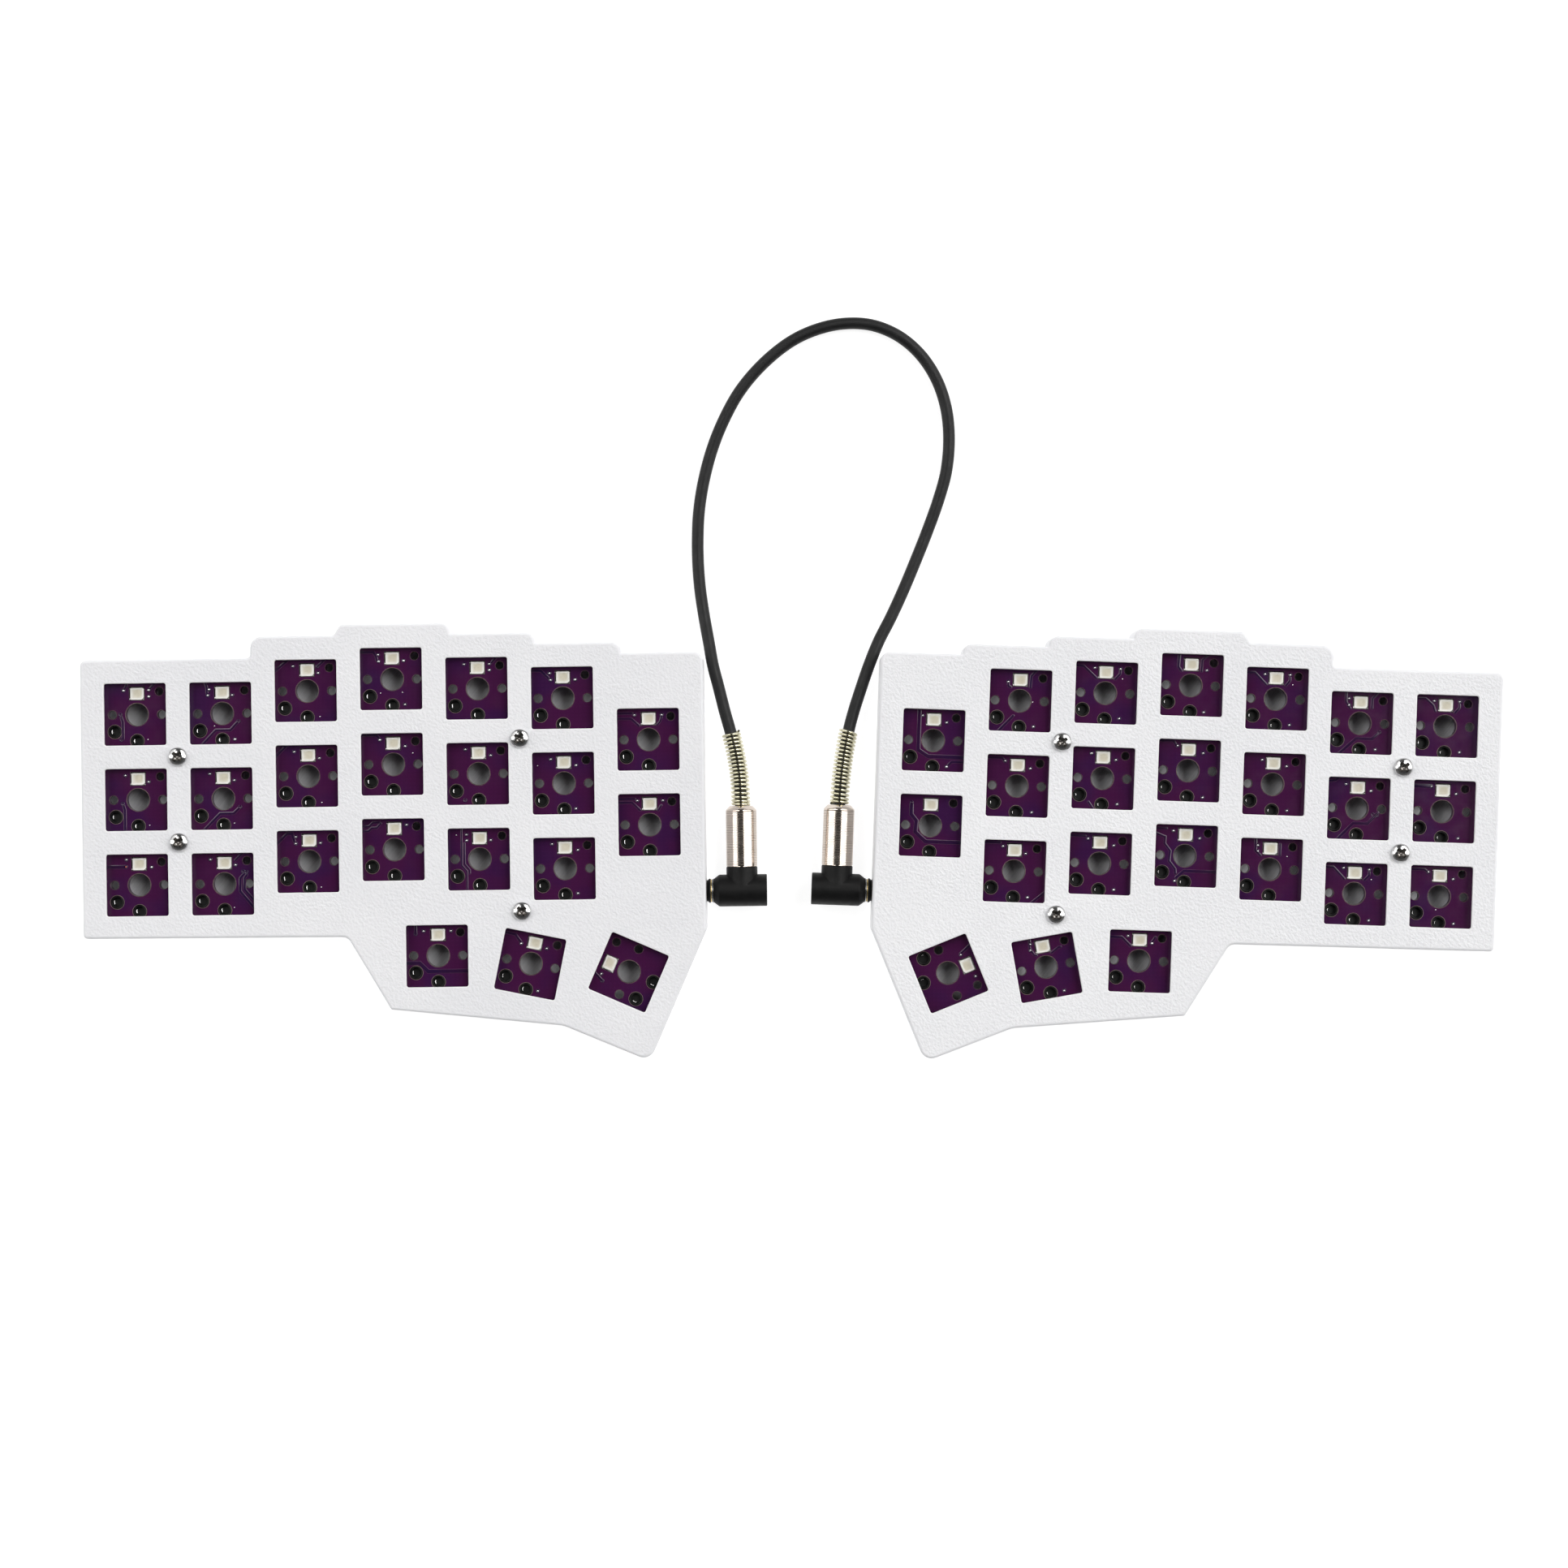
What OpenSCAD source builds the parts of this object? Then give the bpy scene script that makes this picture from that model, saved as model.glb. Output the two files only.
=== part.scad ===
// Split keyboard kit: two mirrored halves with bare switch sites, joined by a short link cable.
// Units are millimetres, +Z is up, the origin is on the desk under the middle of the two cases.

/* [Key layout] */
// Distance between neighbouring key centres
key_pitch = 19.05; // [18.9:0.05:19.2]
// Side of the square switch opening
switch_cut = 13.8; // [13.6:0.1:14.0]
// Corner radius of the switch opening
switch_cut_r = 0.5; // [0.3:0.1:0.8]
// Diameter of the board hole for the switch's middle post
post_hole_d = 5.0; // [4.8:0.1:5.2]

/* [Case] */
// Thickness of the side walls
wall_t = 2.0; // [1.8:0.1:2.2]
// Thickness of the plate around the switch openings
plate_t = 1.3; // [1.1:0.1:1.5]
// Rounding of the top outer edge
edge_r = 1.2; // [0.8:0.1:1.4]
// Thickness of the bottom cover
cover_t = 2.0; // [1.6:0.1:2.2]

/* [Height stack] */
// Height of the rubber feet
foot_h = 1.6; // [1.4:0.1:2.2]
// Space between bottom cover and circuit board
under_board = 5.2; // [5.2:0.1:6.0]
// Thickness of the circuit board
board_t = 1.6; // [1.6:0.1:1.8]
// From the board's top face to the plate's top face
over_board = 2.2; // [2.2:0.1:2.6]

/* [Placement] */
// Turn of the left half on the desk, in degrees
left_yaw = 0.8; // [0:0.1:2.0]
// Turn of the right half on the desk, in degrees
right_yaw = 2.0; // [0.5:0.1:2.5]

/* [Link cable] */
// Diameter of the cord
cord_d = 2.7; // [2.4:0.1:2.8]
// Diameter of the strain relief springs, outside
spring_d = 4.4; // [4.3:0.1:4.8]
// Diameter of the plug's ribbed sleeve
sleeve_d = 7.0; // [6.4:0.1:7.4]

/* [Hidden] */
$fn = 48;

// ---- heights ----
z_cover = foot_h;
z_inside = foot_h + cover_t;
z_board = z_inside + under_board;
z_board_top = z_board + board_t;
z_top = z_board_top + over_board;
z_plate = z_top - plate_t;

// ---- one half in its own frame: origin at the outer back key, +X towards the other half, +Y to the back ----
// Case outline, clockwise from above: x, y, corner radius
outline = [
    [-12.2, 12.2, 1.4], [25.8, 12.2, 0.9], [25.8, 17.0, 2.6], [44.4, 17.0, 0.6], [46.0, 19.4, 1.0],
    [70.4, 19.4, 2.1], [70.4, 17.0, 0.25], [89.3, 17.0, 2.1], [89.3, 14.6, 0.25], [108.4, 14.6, 2.0],
    [108.4, 12.2, 0.25], [126.7, 12.2, 2.0], [126.7, -49.8, 0.6], [113.7, -78.9, 2.7], [94.5, -70.7, 6.0],
    [56.2, -66.6, 0.6], [46.7, -50.3, 2.2], [-12.2, -49.9, 1.0]
];
// Column offsets to the back, in key pitches
stagger = [0, 0, 0.25, 0.375, 0.25, 0.125];
// Key sites: x, y, turn of the site
keys = concat(
    [for (c = [0:5], r = [0:2]) [c * key_pitch, (stagger[c] - r) * key_pitch, 0]],
    [for (r = [0:1]) [6 * key_pitch, (-0.375 - r) * key_pitch, 0]],
    [[66.6, -54.8, 0], [87.3, -56.9, -12], [109.2, -59.0, -24 + 90]]
);
// Case screws and standoffs
screws = [[9.5, -9.5], [9.5, -28.6], [85.7, -6.5], [85.7, -45.0]];
feet = [[-5.0, 5.0], [-5.0, -42.5], [118.0, 4.0], [110.0, -70.0], [64.0, -59.0]];
// Switch pins in the site's own frame
pins = [[-5.0, -3.8], [0, -5.9]];
// Light in the site's own frame
led = [0, 4.7];
reset_at = [105.5, -46.5];
boot_at = [98.5, -47.5];
usb_x = 117.5;
usb_z = z_board - 1.63;
jack_y = -41.3;
jack_z = z_board - 2.5;
wall_x = 126.7;
// Plug, measured from the outer face of the case wall
plug_gap = 0.3;
collar_end = 1.8;
elbow_end = 13.6;
neck_x = 8.0;
neck_end = 5.3;
sleeve_end = 19.0;

// Steps in each rounded corner
arc_n = 4;

// ---- placement on the desk ----
left_anchor = [-146.5, 28.6];
right_anchor = [146.0, 26.0];
function rot2(p, a) = [p.x * cos(a) - p.y * sin(a), p.x * sin(a) + p.y * cos(a)];
case_pts = concat(
    [for (p = outline_pts(0, 0)) left_anchor + rot2(p, left_yaw)],
    [for (p = outline_pts(0, 0)) right_anchor + rot2([-p.x, p.y], -right_yaw)]
);
xs = [for (p = case_pts) p.x];
ys = [for (p = case_pts) p.y];
middle = [(min(xs) + max(xs)) / 2, (min(ys) + max(ys)) / 2];
function on_desk(side, p) =
    (side == "left" ? left_anchor + rot2(p, left_yaw) : right_anchor + rot2([-p.x, p.y], -right_yaw)) - middle;

// ---- rounded outlines ----
function unit(v) = v / norm(v);
function around(v, a) = [v.x * cos(a) - v.y * sin(a), v.x * sin(a) + v.y * cos(a)];
// Points of one rounded corner of the outline moved inwards by d; keep = share of d added to hollow corners
function corner(i, d, keep) =
    let (n = len(outline),
         p0 = [outline[(i + n - 1) % n].x, outline[(i + n - 1) % n].y],
         p1 = [outline[i].x, outline[i].y],
         p2 = [outline[(i + 1) % n].x, outline[(i + 1) % n].y],
         e1 = unit(p1 - p0), e2 = unit(p2 - p1),
         n1 = [e1.y, -e1.x], n2 = [e2.y, -e2.x],
         c = p1 + d * (n1 + n2) / (1 + n1 * n2),
         s = (e1.x * e2.y - e1.y * e2.x) < 0 ? 1 : -1,
         turn = acos(e1 * e2),
         r = s > 0 ? max(outline[i].z - d, 0.05) : outline[i].z + d * keep,
         a = c - e1 * r * tan(turn / 2),
         m = a + n1 * r * s)
    [for (k = [0:arc_n]) m + around(-n1 * r * s, -s * turn * k / arc_n)];
function outline_pts(d, keep) = [for (i = [0:len(outline) - 1], p = corner(i, d, keep)) p];

// Closed solid through rings of equal length, rings clockwise seen from the last one
module loft(rings) {
    n = len(rings[0]);
    m = len(rings);
    polyhedron(
        points = [for (r = rings, p = r) p],
        faces = concat(
            [[for (i = [n - 1:-1:0]) i]],
            [for (j = [0:m - 2], i = [0:n - 1], h = [0, 1])
                h == 0 ? [j * n + i, j * n + (i + 1) % n, (j + 1) * n + (i + 1) % n]
                       : [j * n + i, (j + 1) * n + (i + 1) % n, (j + 1) * n + i]],
            [[for (i = [0:n - 1]) (m - 1) * n + i]]
        )
    );
}
function ring(d, z) = [for (p = outline_pts(d, 1)) [p.x, p.y, z]];

// Square with rounded corners, as points
function soft_square(w, r) = [for (q = [0:3], k = [0:3])
    let (a = q * 90 + k * 30, s = [[1, 1], [-1, 1], [-1, -1], [1, -1]][q])
    [s.x * (w / 2 - r) + r * cos(a), s.y * (w / 2 - r) + r * sin(a)]];
// Slot with round ends, as points
function slot_pts(w, h) = [for (q = [0:1], k = [0:8])
    let (a = -90 + q * 180 + k * 22.5)
    [(q == 0 ? 1 : -1) * (w - h) / 2 + h / 2 * cos(a), h / 2 * sin(a)]];

module place(side) {
    if (side == "left")
        translate([left_anchor.x - middle.x, left_anchor.y - middle.y, 0]) rotate([0, 0, left_yaw]) children();
    else
        translate([right_anchor.x - middle.x, right_anchor.y - middle.y, 0]) rotate([0, 0, -right_yaw])
            mirror([1, 0, 0]) children();
}
// The same site pattern sits on both halves without being mirrored
module site_hand(side) {
    if (side == "left") children();
    else mirror([1, 0, 0]) children();
}
module at_keys(side) {
    for (k = keys) translate([k.x, k.y, 0]) rotate([0, 0, k.z]) site_hand(side) children();
}
module at_screws() {
    for (s = screws) translate([s.x, s.y, 0]) children();
}
// Turns a shape made along +Z so that it points out of the jack, from the wall's outer face
module along_jack() {
    translate([wall_x, jack_y, jack_z]) rotate([0, 90, 0]) children();
}

// ---- pieces of one half ----
module top_case(side) {
    color([0.91, 0.91, 0.92]) difference() {
        union() {
            difference() {
                // The end faces have hollow corners; resize with zeros keeps the size and cuts them cleanly
                resize([0, 0, 0]) loft([ring(0.4, foot_h), ring(0, foot_h + 0.4), ring(0, z_top - edge_r),
                      ring(edge_r * 0.134, z_top - edge_r * 0.5), ring(edge_r * 0.5, z_top - edge_r * 0.134),
                      ring(edge_r, z_top)]);
                translate([0, 0, foot_h - 1]) linear_extrude(z_plate - foot_h + 1) polygon(outline_pts(wall_t, 0.2));
                for (k = keys) translate([k.x, k.y, z_plate - 1]) rotate([0, 0, k.z])
                    linear_extrude(plate_t + 2) polygon(soft_square(switch_cut, switch_cut_r));
            }
            at_screws() translate([0, 0, z_board_top]) cylinder(r = 2.4, h = z_plate - z_board_top + 0.2);
        }
        at_screws() translate([0, 0, z_board_top - 1]) cylinder(r = 1.15, h = over_board + 2);
        translate([wall_x - wall_t - 1, jack_y, jack_z]) rotate([0, 90, 0]) cylinder(r = 2.7, h = wall_t + 2);
        translate([usb_x, 12.2 + 1, usb_z]) rotate([90, 0, 0]) linear_extrude(wall_t + 2) polygon(slot_pts(9.6, 3.9));
    }
}
module bottom_cover(side) {
    color([0.66, 0.66, 0.67]) translate([0, 0, z_cover]) linear_extrude(cover_t) difference() {
        polygon(outline_pts(wall_t + 0.15, 0.2));
        at_screws() circle(r = 1.15);
        translate(reset_at) circle(r = 1.5);
        translate(boot_at) circle(r = 1.5);
    }
}
module circuit_board(side) {
    color([0.27, 0.09, 0.26]) translate([0, 0, z_board]) linear_extrude(board_t) difference() {
        polygon(outline_pts(wall_t + 0.4, 0.2));
        at_screws() circle(r = 1.15);
        at_keys(side) {
            circle(d = post_hole_d);
            for (x = [-5.5, 5.5]) translate([x, 0]) circle(d = 1.9);
            for (p = pins) translate(p) circle(d = 3.0);
            translate([5.0, 5.15]) circle(d = 1.8);
            translate(led) square([3.4, 3.0], center = true);
        }
    }
}
module key_leds(side) {
    color([0.93, 0.91, 0.84]) at_keys(side) translate([led.x, led.y, 0]) {
        translate([0, 0, z_board - 0.25]) linear_extrude(board_t + 0.35)
            polygon([[-1.6, -1.4], [1.1, -1.4], [1.6, -0.9], [1.6, 1.4], [-1.6, 1.4]]);
        for (x = [-1, 1], y = [-0.85, 0.65]) translate([x > 0 ? 1.3 : -2.7, y - 0.3, z_board - 0.25])
            cube([1.4, 0.6, 0.25]);
    }
}
module switch_sockets(side) {
    color([0.08, 0.08, 0.09]) at_keys(side) difference() {
        union() {
            translate([0, 0, z_board - 1.8]) linear_extrude(1.8)
                polygon([[-7.0, -1.7], [-2.6, -1.7], [-1.2, -3.6], [2.2, -3.6], [2.2, -8.2], [-2.6, -8.2],
                         [-3.9, -6.2], [-7.0, -6.2]]);
            for (p = pins) translate([p.x, p.y, z_board - 0.5]) cylinder(r = 1.4, h = board_t + 0.4);
        }
        for (p = pins) translate([p.x, p.y, z_board - 1.4]) cylinder(r = 0.75, h = board_t + 2);
        translate([-8, -4.3, z_board - 0.3]) cube([3.0, 1.0, 0.3]);
        translate([0, -6.4, z_board - 0.3]) cube([3.0, 1.0, 0.3]);
    }
}
module socket_contacts(side) {
    color([0.8, 0.76, 0.66]) at_keys(side) {
        translate([-9.3, -4.3, z_board - 0.3]) cube([3.85, 1.0, 0.3]);
        translate([-5.65, -4.15, z_board - 1.2]) cube([0.2, 0.7, board_t + 0.9]);
        translate([0.45, -6.4, z_board - 0.3]) cube([3.95, 1.0, 0.3]);
        translate([0.45, -6.25, z_board - 1.2]) cube([0.2, 0.7, board_t + 0.9]);
    }
}
module key_diodes(side) {
    color([0.12, 0.12, 0.13]) at_keys(side) translate([-5.6, 5.2, 0]) {
        translate([-1.35, -0.8, z_board - 1.1]) cube([2.7, 1.6, 1.05]);
        translate([-1.85, -0.3, z_board - 0.2]) cube([3.7, 0.6, 0.2]);
    }
}
module chip(at, w, d, h) {
    translate([at.x - w / 2, at.y - d / 2, z_board - h]) cube([w, d, h]);
}
module controller_chip(side) {
    color([0.1, 0.1, 0.11]) chip([107, 5.8], 7, 7, 0.9);
}
module flash_chip(side) {
    color([0.11, 0.11, 0.12]) chip([122.4, 1.2], 3, 2, 0.6);
}
module clock_crystal(side) {
    color([0.75, 0.75, 0.77]) chip([112, 1.0], 3.2, 2.5, 0.8);
}
module voltage_regulator(side) {
    color([0.12, 0.12, 0.12]) {
        chip([122.4, -17.0], 2.9, 1.3, 1.1);
        for (x = [-0.95, 0.95]) translate([122.4 + x - 0.2, -18.25, z_board - 0.2]) cube([0.4, 0.7, 0.2]);
        translate([122.2, -16.45, z_board - 0.2]) cube([0.4, 0.7, 0.2]);
    }
}
module usb_port_shell(side) {
    color([0.78, 0.78, 0.8]) translate([usb_x, 11.8, usb_z]) rotate([90, 0, 0]) difference() {
        linear_extrude(7.3) polygon(slot_pts(8.94, 3.26));
        translate([0, 0, -1]) linear_extrude(9.3) polygon(slot_pts(8.34, 2.66));
    }
}
module usb_port_tongue(side) {
    color([0.07, 0.07, 0.07]) translate([usb_x, 11.8, usb_z]) rotate([90, 0, 0]) {
        translate([0, 0, 5.6]) linear_extrude(1.7) polygon(slot_pts(8.3, 2.62));
        translate([-3.3, -0.35, 0.9]) cube([6.6, 0.7, 5]);
    }
}
module link_jack(side) {
    color([0.07, 0.07, 0.07]) difference() {
        union() {
            translate([111.4, jack_y - 3, z_board - 5]) cube([12.9, 6, 5]);
            translate([124, jack_y, jack_z]) rotate([0, 90, 0]) cylinder(r = 2.45, h = 2.6);
        }
        translate([112, jack_y, jack_z]) rotate([0, 90, 0]) cylinder(r = 1.83, h = 16);
        for (x = [114, 117, 120]) translate([x - 0.6, jack_y + 2.2, z_board - 4]) cube([1.2, 1.0, 4.2]);
        translate([121.4, jack_y - 3.2, z_board - 4]) cube([1.2, 1.0, 4.2]);
    }
}
module link_jack_contacts(side) {
    color([0.85, 0.72, 0.4]) {
        for (x = [114, 117, 120]) {
            translate([x - 0.5, jack_y + 2.25, z_board - 3.8]) cube([1.0, 0.2, 3.8]);
            translate([x - 0.5, jack_y + 2.25, z_board - 0.2]) cube([1.0, 1.75, 0.2]);
        }
        translate([121.5, jack_y - 2.45, z_board - 3.8]) cube([1.0, 0.2, 3.8]);
        translate([121.5, jack_y - 4.0, z_board - 0.2]) cube([1.0, 1.75, 0.2]);
    }
}
module button_bases(side) {
    color([0.7, 0.7, 0.72]) for (b = [reset_at, boot_at]) translate([b.x, b.y, 0]) difference() {
        translate([-2, -1.5, z_board - 1.5]) cube([4, 3, 1.5]);
        translate([0, 0, z_board - 2.5]) cylinder(r = 0.88, h = 1.9);
    }
}
module button_plunger(at) {
    translate([at.x, at.y, z_board - 2.3]) rotate_extrude()
        polygon([[0, 0], [0.65, 0], [0.8, 0.15], [0.8, 1.35], [0, 1.35]]);
}
module reset_button(side) {
    color([0.15, 0.15, 0.15]) button_plunger(reset_at);
}
module boot_button(side) {
    color([0.9, 0.88, 0.8]) button_plunger(boot_at);
}
module standoffs(side) {
    color([0.8, 0.65, 0.3]) at_screws() translate([0, 0, z_inside]) difference() {
        cylinder(r = 1.9, h = under_board);
        translate([0, 0, -1]) cylinder(r = 1.02, h = under_board + 2);
    }
}
// Pan head screw, head up, seat at z = 0
module pan_screw(len) {
    difference() {
        union() {
            rotate_extrude() polygon([[0, 0], [2.1, 0], [2.1, 0.45], [1.9, 0.85], [1.5, 1.15], [0.9, 1.3], [0, 1.35]]);
            translate([0, 0, -len]) cylinder(r = 1.0, h = len + 0.2);
        }
        for (a = [0, 90]) rotate([0, 0, a + 20]) translate([-1.15, -0.27, 0.6]) cube([2.3, 0.54, 1]);
    }
}
module top_screws(side) {
    color([0.8, 0.8, 0.82]) at_screws() translate([0, 0, z_top]) pan_screw(6);
}
module bottom_screws(side) {
    color([0.75, 0.75, 0.77]) at_screws() translate([0, 0, z_cover]) rotate([180, 0, 0]) pan_screw(4.5);
}
module rubber_feet(side) {
    color([0.2, 0.2, 0.2]) for (f = feet) translate([f.x, f.y, 0]) rotate_extrude()
        polygon([[0, 0], [3.5, 0], [3.9, 0.4], [4.0, foot_h], [0, foot_h]]);
}

// ---- plug pieces, in the frame of their half ----
module plug_elbow() {
    color([0.09, 0.09, 0.1]) {
        along_jack() rotate_extrude() polygon([[0, collar_end], [2.9, collar_end], [3.6, collar_end + 0.7],
            [3.6, elbow_end - 0.6], [3.0, elbow_end], [0, elbow_end]]);
        translate([wall_x + neck_x, jack_y, jack_z]) rotate([-90, 0, 0]) cylinder(r = 3.5, h = neck_end);
    }
}
module plug_sleeve() {
    color([0.72, 0.68, 0.64]) translate([wall_x + neck_x, jack_y, jack_z]) rotate([-90, 0, 0]) rotate_extrude()
        polygon([[0, neck_end], [sleeve_d / 2, neck_end], [sleeve_d / 2, sleeve_end - 0.9],
                 [sleeve_d / 2 - 0.9, sleeve_end], [0, sleeve_end]]);
}
module plug_collar() {
    color([0.8, 0.72, 0.5]) along_jack() rotate_extrude()
        polygon([[0, plug_gap], [2.6, plug_gap], [2.8, 0.5], [2.8, collar_end], [0, collar_end]]);
}
module plug_contacts() {
    color([0.8, 0.78, 0.74]) along_jack() {
        translate([0, 0, -3.5]) cylinder(r = 1.75, h = 3.5 + plug_gap);
        translate([0, 0, -6.6]) cylinder(r = 1.75, h = 2.5);
        translate([0, 0, -9.7]) cylinder(r = 1.75, h = 2.5);
        rotate_extrude() polygon([[0, -13.7], [0.6, -13.7], [1.7, -12.4], [1.3, -11.2], [1.75, -10.7], [1.75, -10.3],
                                  [0, -10.3]]);
    }
}
module plug_insulators() {
    color([0.05, 0.05, 0.05]) along_jack() for (z = [-4.1, -7.2, -10.3]) translate([0, 0, z])
        cylinder(r = 1.72, h = 0.6);
}

// ---- cord ----
// Free stretch of the cord's route over the desk, left plug to right plug
free_route = [
    [-15.2, 29.5, 5.0], [-16.6, 35.0, 4.3], [-17.9, 40.0, 3.7], [-18.9, 45.5, 3.1], [-19.9, 51.0, 2.5],
    [-20.8, 57.0, 2.0], [-21.3, 63.0, 1.6], [-21.4, 69.0, 1.4], [-21.1, 75.0, 1.4], [-20.1, 81.5, 1.4],
    [-18.3, 88.5, 1.4], [-15.7, 95.2, 1.4], [-12.0, 102.0, 1.4], [-7.0, 108.0, 1.4], [-1.0, 113.0, 1.4],
    [5.0, 116.0, 1.4], [11.5, 117.5, 1.4], [18.0, 117.2, 1.4], [24.0, 114.8, 1.4], [29.0, 110.6, 1.4],
    [32.7, 105.0, 1.4], [34.9, 98.5, 1.4], [35.6, 91.5, 1.4], [35.0, 84.2, 1.4], [33.2, 77.5, 1.4],
    [30.7, 70.5, 1.4], [28.0, 63.7, 1.7], [25.2, 57.0, 2.2], [22.4, 50.9, 2.8], [19.6, 45.4, 3.3],
    [17.4, 40.0, 3.8], [15.5, 34.5, 4.4], [13.9, 29.5, 5.0]
];
// Stretch inside a spring: along the sleeve's axis, sideways towards the half, drop
left_lead = [[0, 0, 0], [5.5, -0.2, 0.05], [11, -0.9, 0.3], [16.5, -2.1, 0.7]];
right_lead = [[0, 0, 0], [5.5, -0.2, 0.05], [11, -0.7, 0.3], [16.5, -1.5, 0.7]];
function lead_pt(side, q) =
    let (p = on_desk(side, [wall_x + neck_x + q.y, jack_y + sleeve_end + q.x])) [p.x, p.y, jack_z - q.z];
route = concat(
    [for (q = left_lead) lead_pt("left", q)],
    [for (p = free_route) [p.x - middle.x, p.y - middle.y, p.z]],
    [for (i = [3:-1:0]) lead_pt("right", right_lead[i])]
);
last = len(route) - 1;
function knot(i) = route[max(0, min(last, i))];
function blend4(a, b, c, d, t) =
    0.5 * (2 * b + (c - a) * t + (2 * a - 5 * b + 4 * c - d) * t * t + (3 * b - a - 3 * c + d) * t * t * t);
// Point of the route at step u, and its direction
function along(u) = let (i = min(last - 1, max(0, floor(u)))) blend4(knot(i - 1), knot(i), knot(i + 1), knot(i + 2), u - i);
function heading(u) = unit(along(min(last, u + 0.05)) - along(max(0, u - 0.05)));
function side_of(u) = unit(cross(heading(u), [0, 0, 1]));
function up_of(u) = cross(side_of(u), heading(u));
function tube_ring(u, r, n) = [for (k = [0:n - 1]) along(u) + r * (cos(k * 360 / n) * side_of(u) + sin(k * 360 / n) * up_of(u))];
module link_cable() {
    color([0.1, 0.1, 0.11]) loft([for (u = [0:last]) tube_ring(u, cord_d / 2, 8)]);
}
// Coil along steps u0 to u1 of the route
wire_d = 0.55;
coil_r = (spring_d - wire_d) / 2;
function coil_pt(u0, u1, turns, t) =
    let (u = u0 + (u1 - u0) * t, a = 360 * turns * t)
    along(u) + coil_r * (cos(a) * side_of(u) + sin(a) * up_of(u));
function coil_ring(u0, u1, turns, t) =
    let (c = coil_pt(u0, u1, turns, t),
         h = unit(coil_pt(u0, u1, turns, t + 0.002) - coil_pt(u0, u1, turns, t - 0.002)),
         o = unit(c - along(u0 + (u1 - u0) * t)),
         s = unit(cross(h, o)))
    [for (k = [0:5]) c + wire_d / 2 * (cos(k * 60) * s + sin(k * 60) * cross(s, h))];
module coil(u0, u1) {
    turns = 17;
    steps = turns * 10;
    loft([for (i = [0:steps]) coil_ring(u0, u1, turns, i / steps)]);
}
module left_plug_spring() {
    color([0.78, 0.7, 0.5]) coil(0.08, 3);
}
module right_plug_spring() {
    color([0.78, 0.7, 0.5]) coil(last - 3, last - 0.08);
}

place("left") top_case("left");  // left_top_case
place("left") bottom_cover("left");  // left_bottom_cover
place("left") circuit_board("left");  // left_circuit_board
place("left") key_leds("left");  // left_key_leds
place("left") switch_sockets("left");  // left_switch_sockets
place("left") socket_contacts("left");  // left_socket_contacts
place("left") key_diodes("left");  // left_key_diodes
place("left") controller_chip("left");  // left_controller_chip
place("left") flash_chip("left");  // left_flash_chip
place("left") clock_crystal("left");  // left_clock_crystal
place("left") voltage_regulator("left");  // left_voltage_regulator
place("left") usb_port_shell("left");  // left_usb_port_shell
place("left") usb_port_tongue("left");  // left_usb_port_tongue
place("left") link_jack("left");  // left_link_jack
place("left") link_jack_contacts("left");  // left_link_jack_contacts
place("left") button_bases("left");  // left_button_bases
place("left") reset_button("left");  // left_reset_button
place("left") boot_button("left");  // left_boot_button
place("left") standoffs("left");  // left_standoffs
place("left") top_screws("left");  // left_top_screws
place("left") bottom_screws("left");  // left_bottom_screws
place("left") rubber_feet("left");  // left_rubber_feet
place("right") top_case("right");  // right_top_case
place("right") bottom_cover("right");  // right_bottom_cover
place("right") circuit_board("right");  // right_circuit_board
place("right") key_leds("right");  // right_key_leds
place("right") switch_sockets("right");  // right_switch_sockets
place("right") socket_contacts("right");  // right_socket_contacts
place("right") key_diodes("right");  // right_key_diodes
place("right") controller_chip("right");  // right_controller_chip
place("right") flash_chip("right");  // right_flash_chip
place("right") clock_crystal("right");  // right_clock_crystal
place("right") voltage_regulator("right");  // right_voltage_regulator
place("right") usb_port_shell("right");  // right_usb_port_shell
place("right") usb_port_tongue("right");  // right_usb_port_tongue
place("right") link_jack("right");  // right_link_jack
place("right") link_jack_contacts("right");  // right_link_jack_contacts
place("right") button_bases("right");  // right_button_bases
place("right") reset_button("right");  // right_reset_button
place("right") boot_button("right");  // right_boot_button
place("right") standoffs("right");  // right_standoffs
place("right") top_screws("right");  // right_top_screws
place("right") bottom_screws("right");  // right_bottom_screws
place("right") rubber_feet("right");  // right_rubber_feet
link_cable();
place("left") plug_elbow();  // left_plug_elbow
place("left") plug_sleeve();  // left_plug_sleeve
left_plug_spring();
place("left") plug_collar();  // left_plug_collar
place("left") plug_contacts();  // left_plug_contacts
place("left") plug_insulators();  // left_plug_insulators
place("right") plug_elbow();  // right_plug_elbow
place("right") plug_sleeve();  // right_plug_sleeve
right_plug_spring();
place("right") plug_collar();  // right_plug_collar
place("right") plug_contacts();  // right_plug_contacts
place("right") plug_insulators();  // right_plug_insulators
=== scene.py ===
import math
import bpy
import bmesh
import numpy as np
from mathutils import Vector, Matrix, geometry


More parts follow.
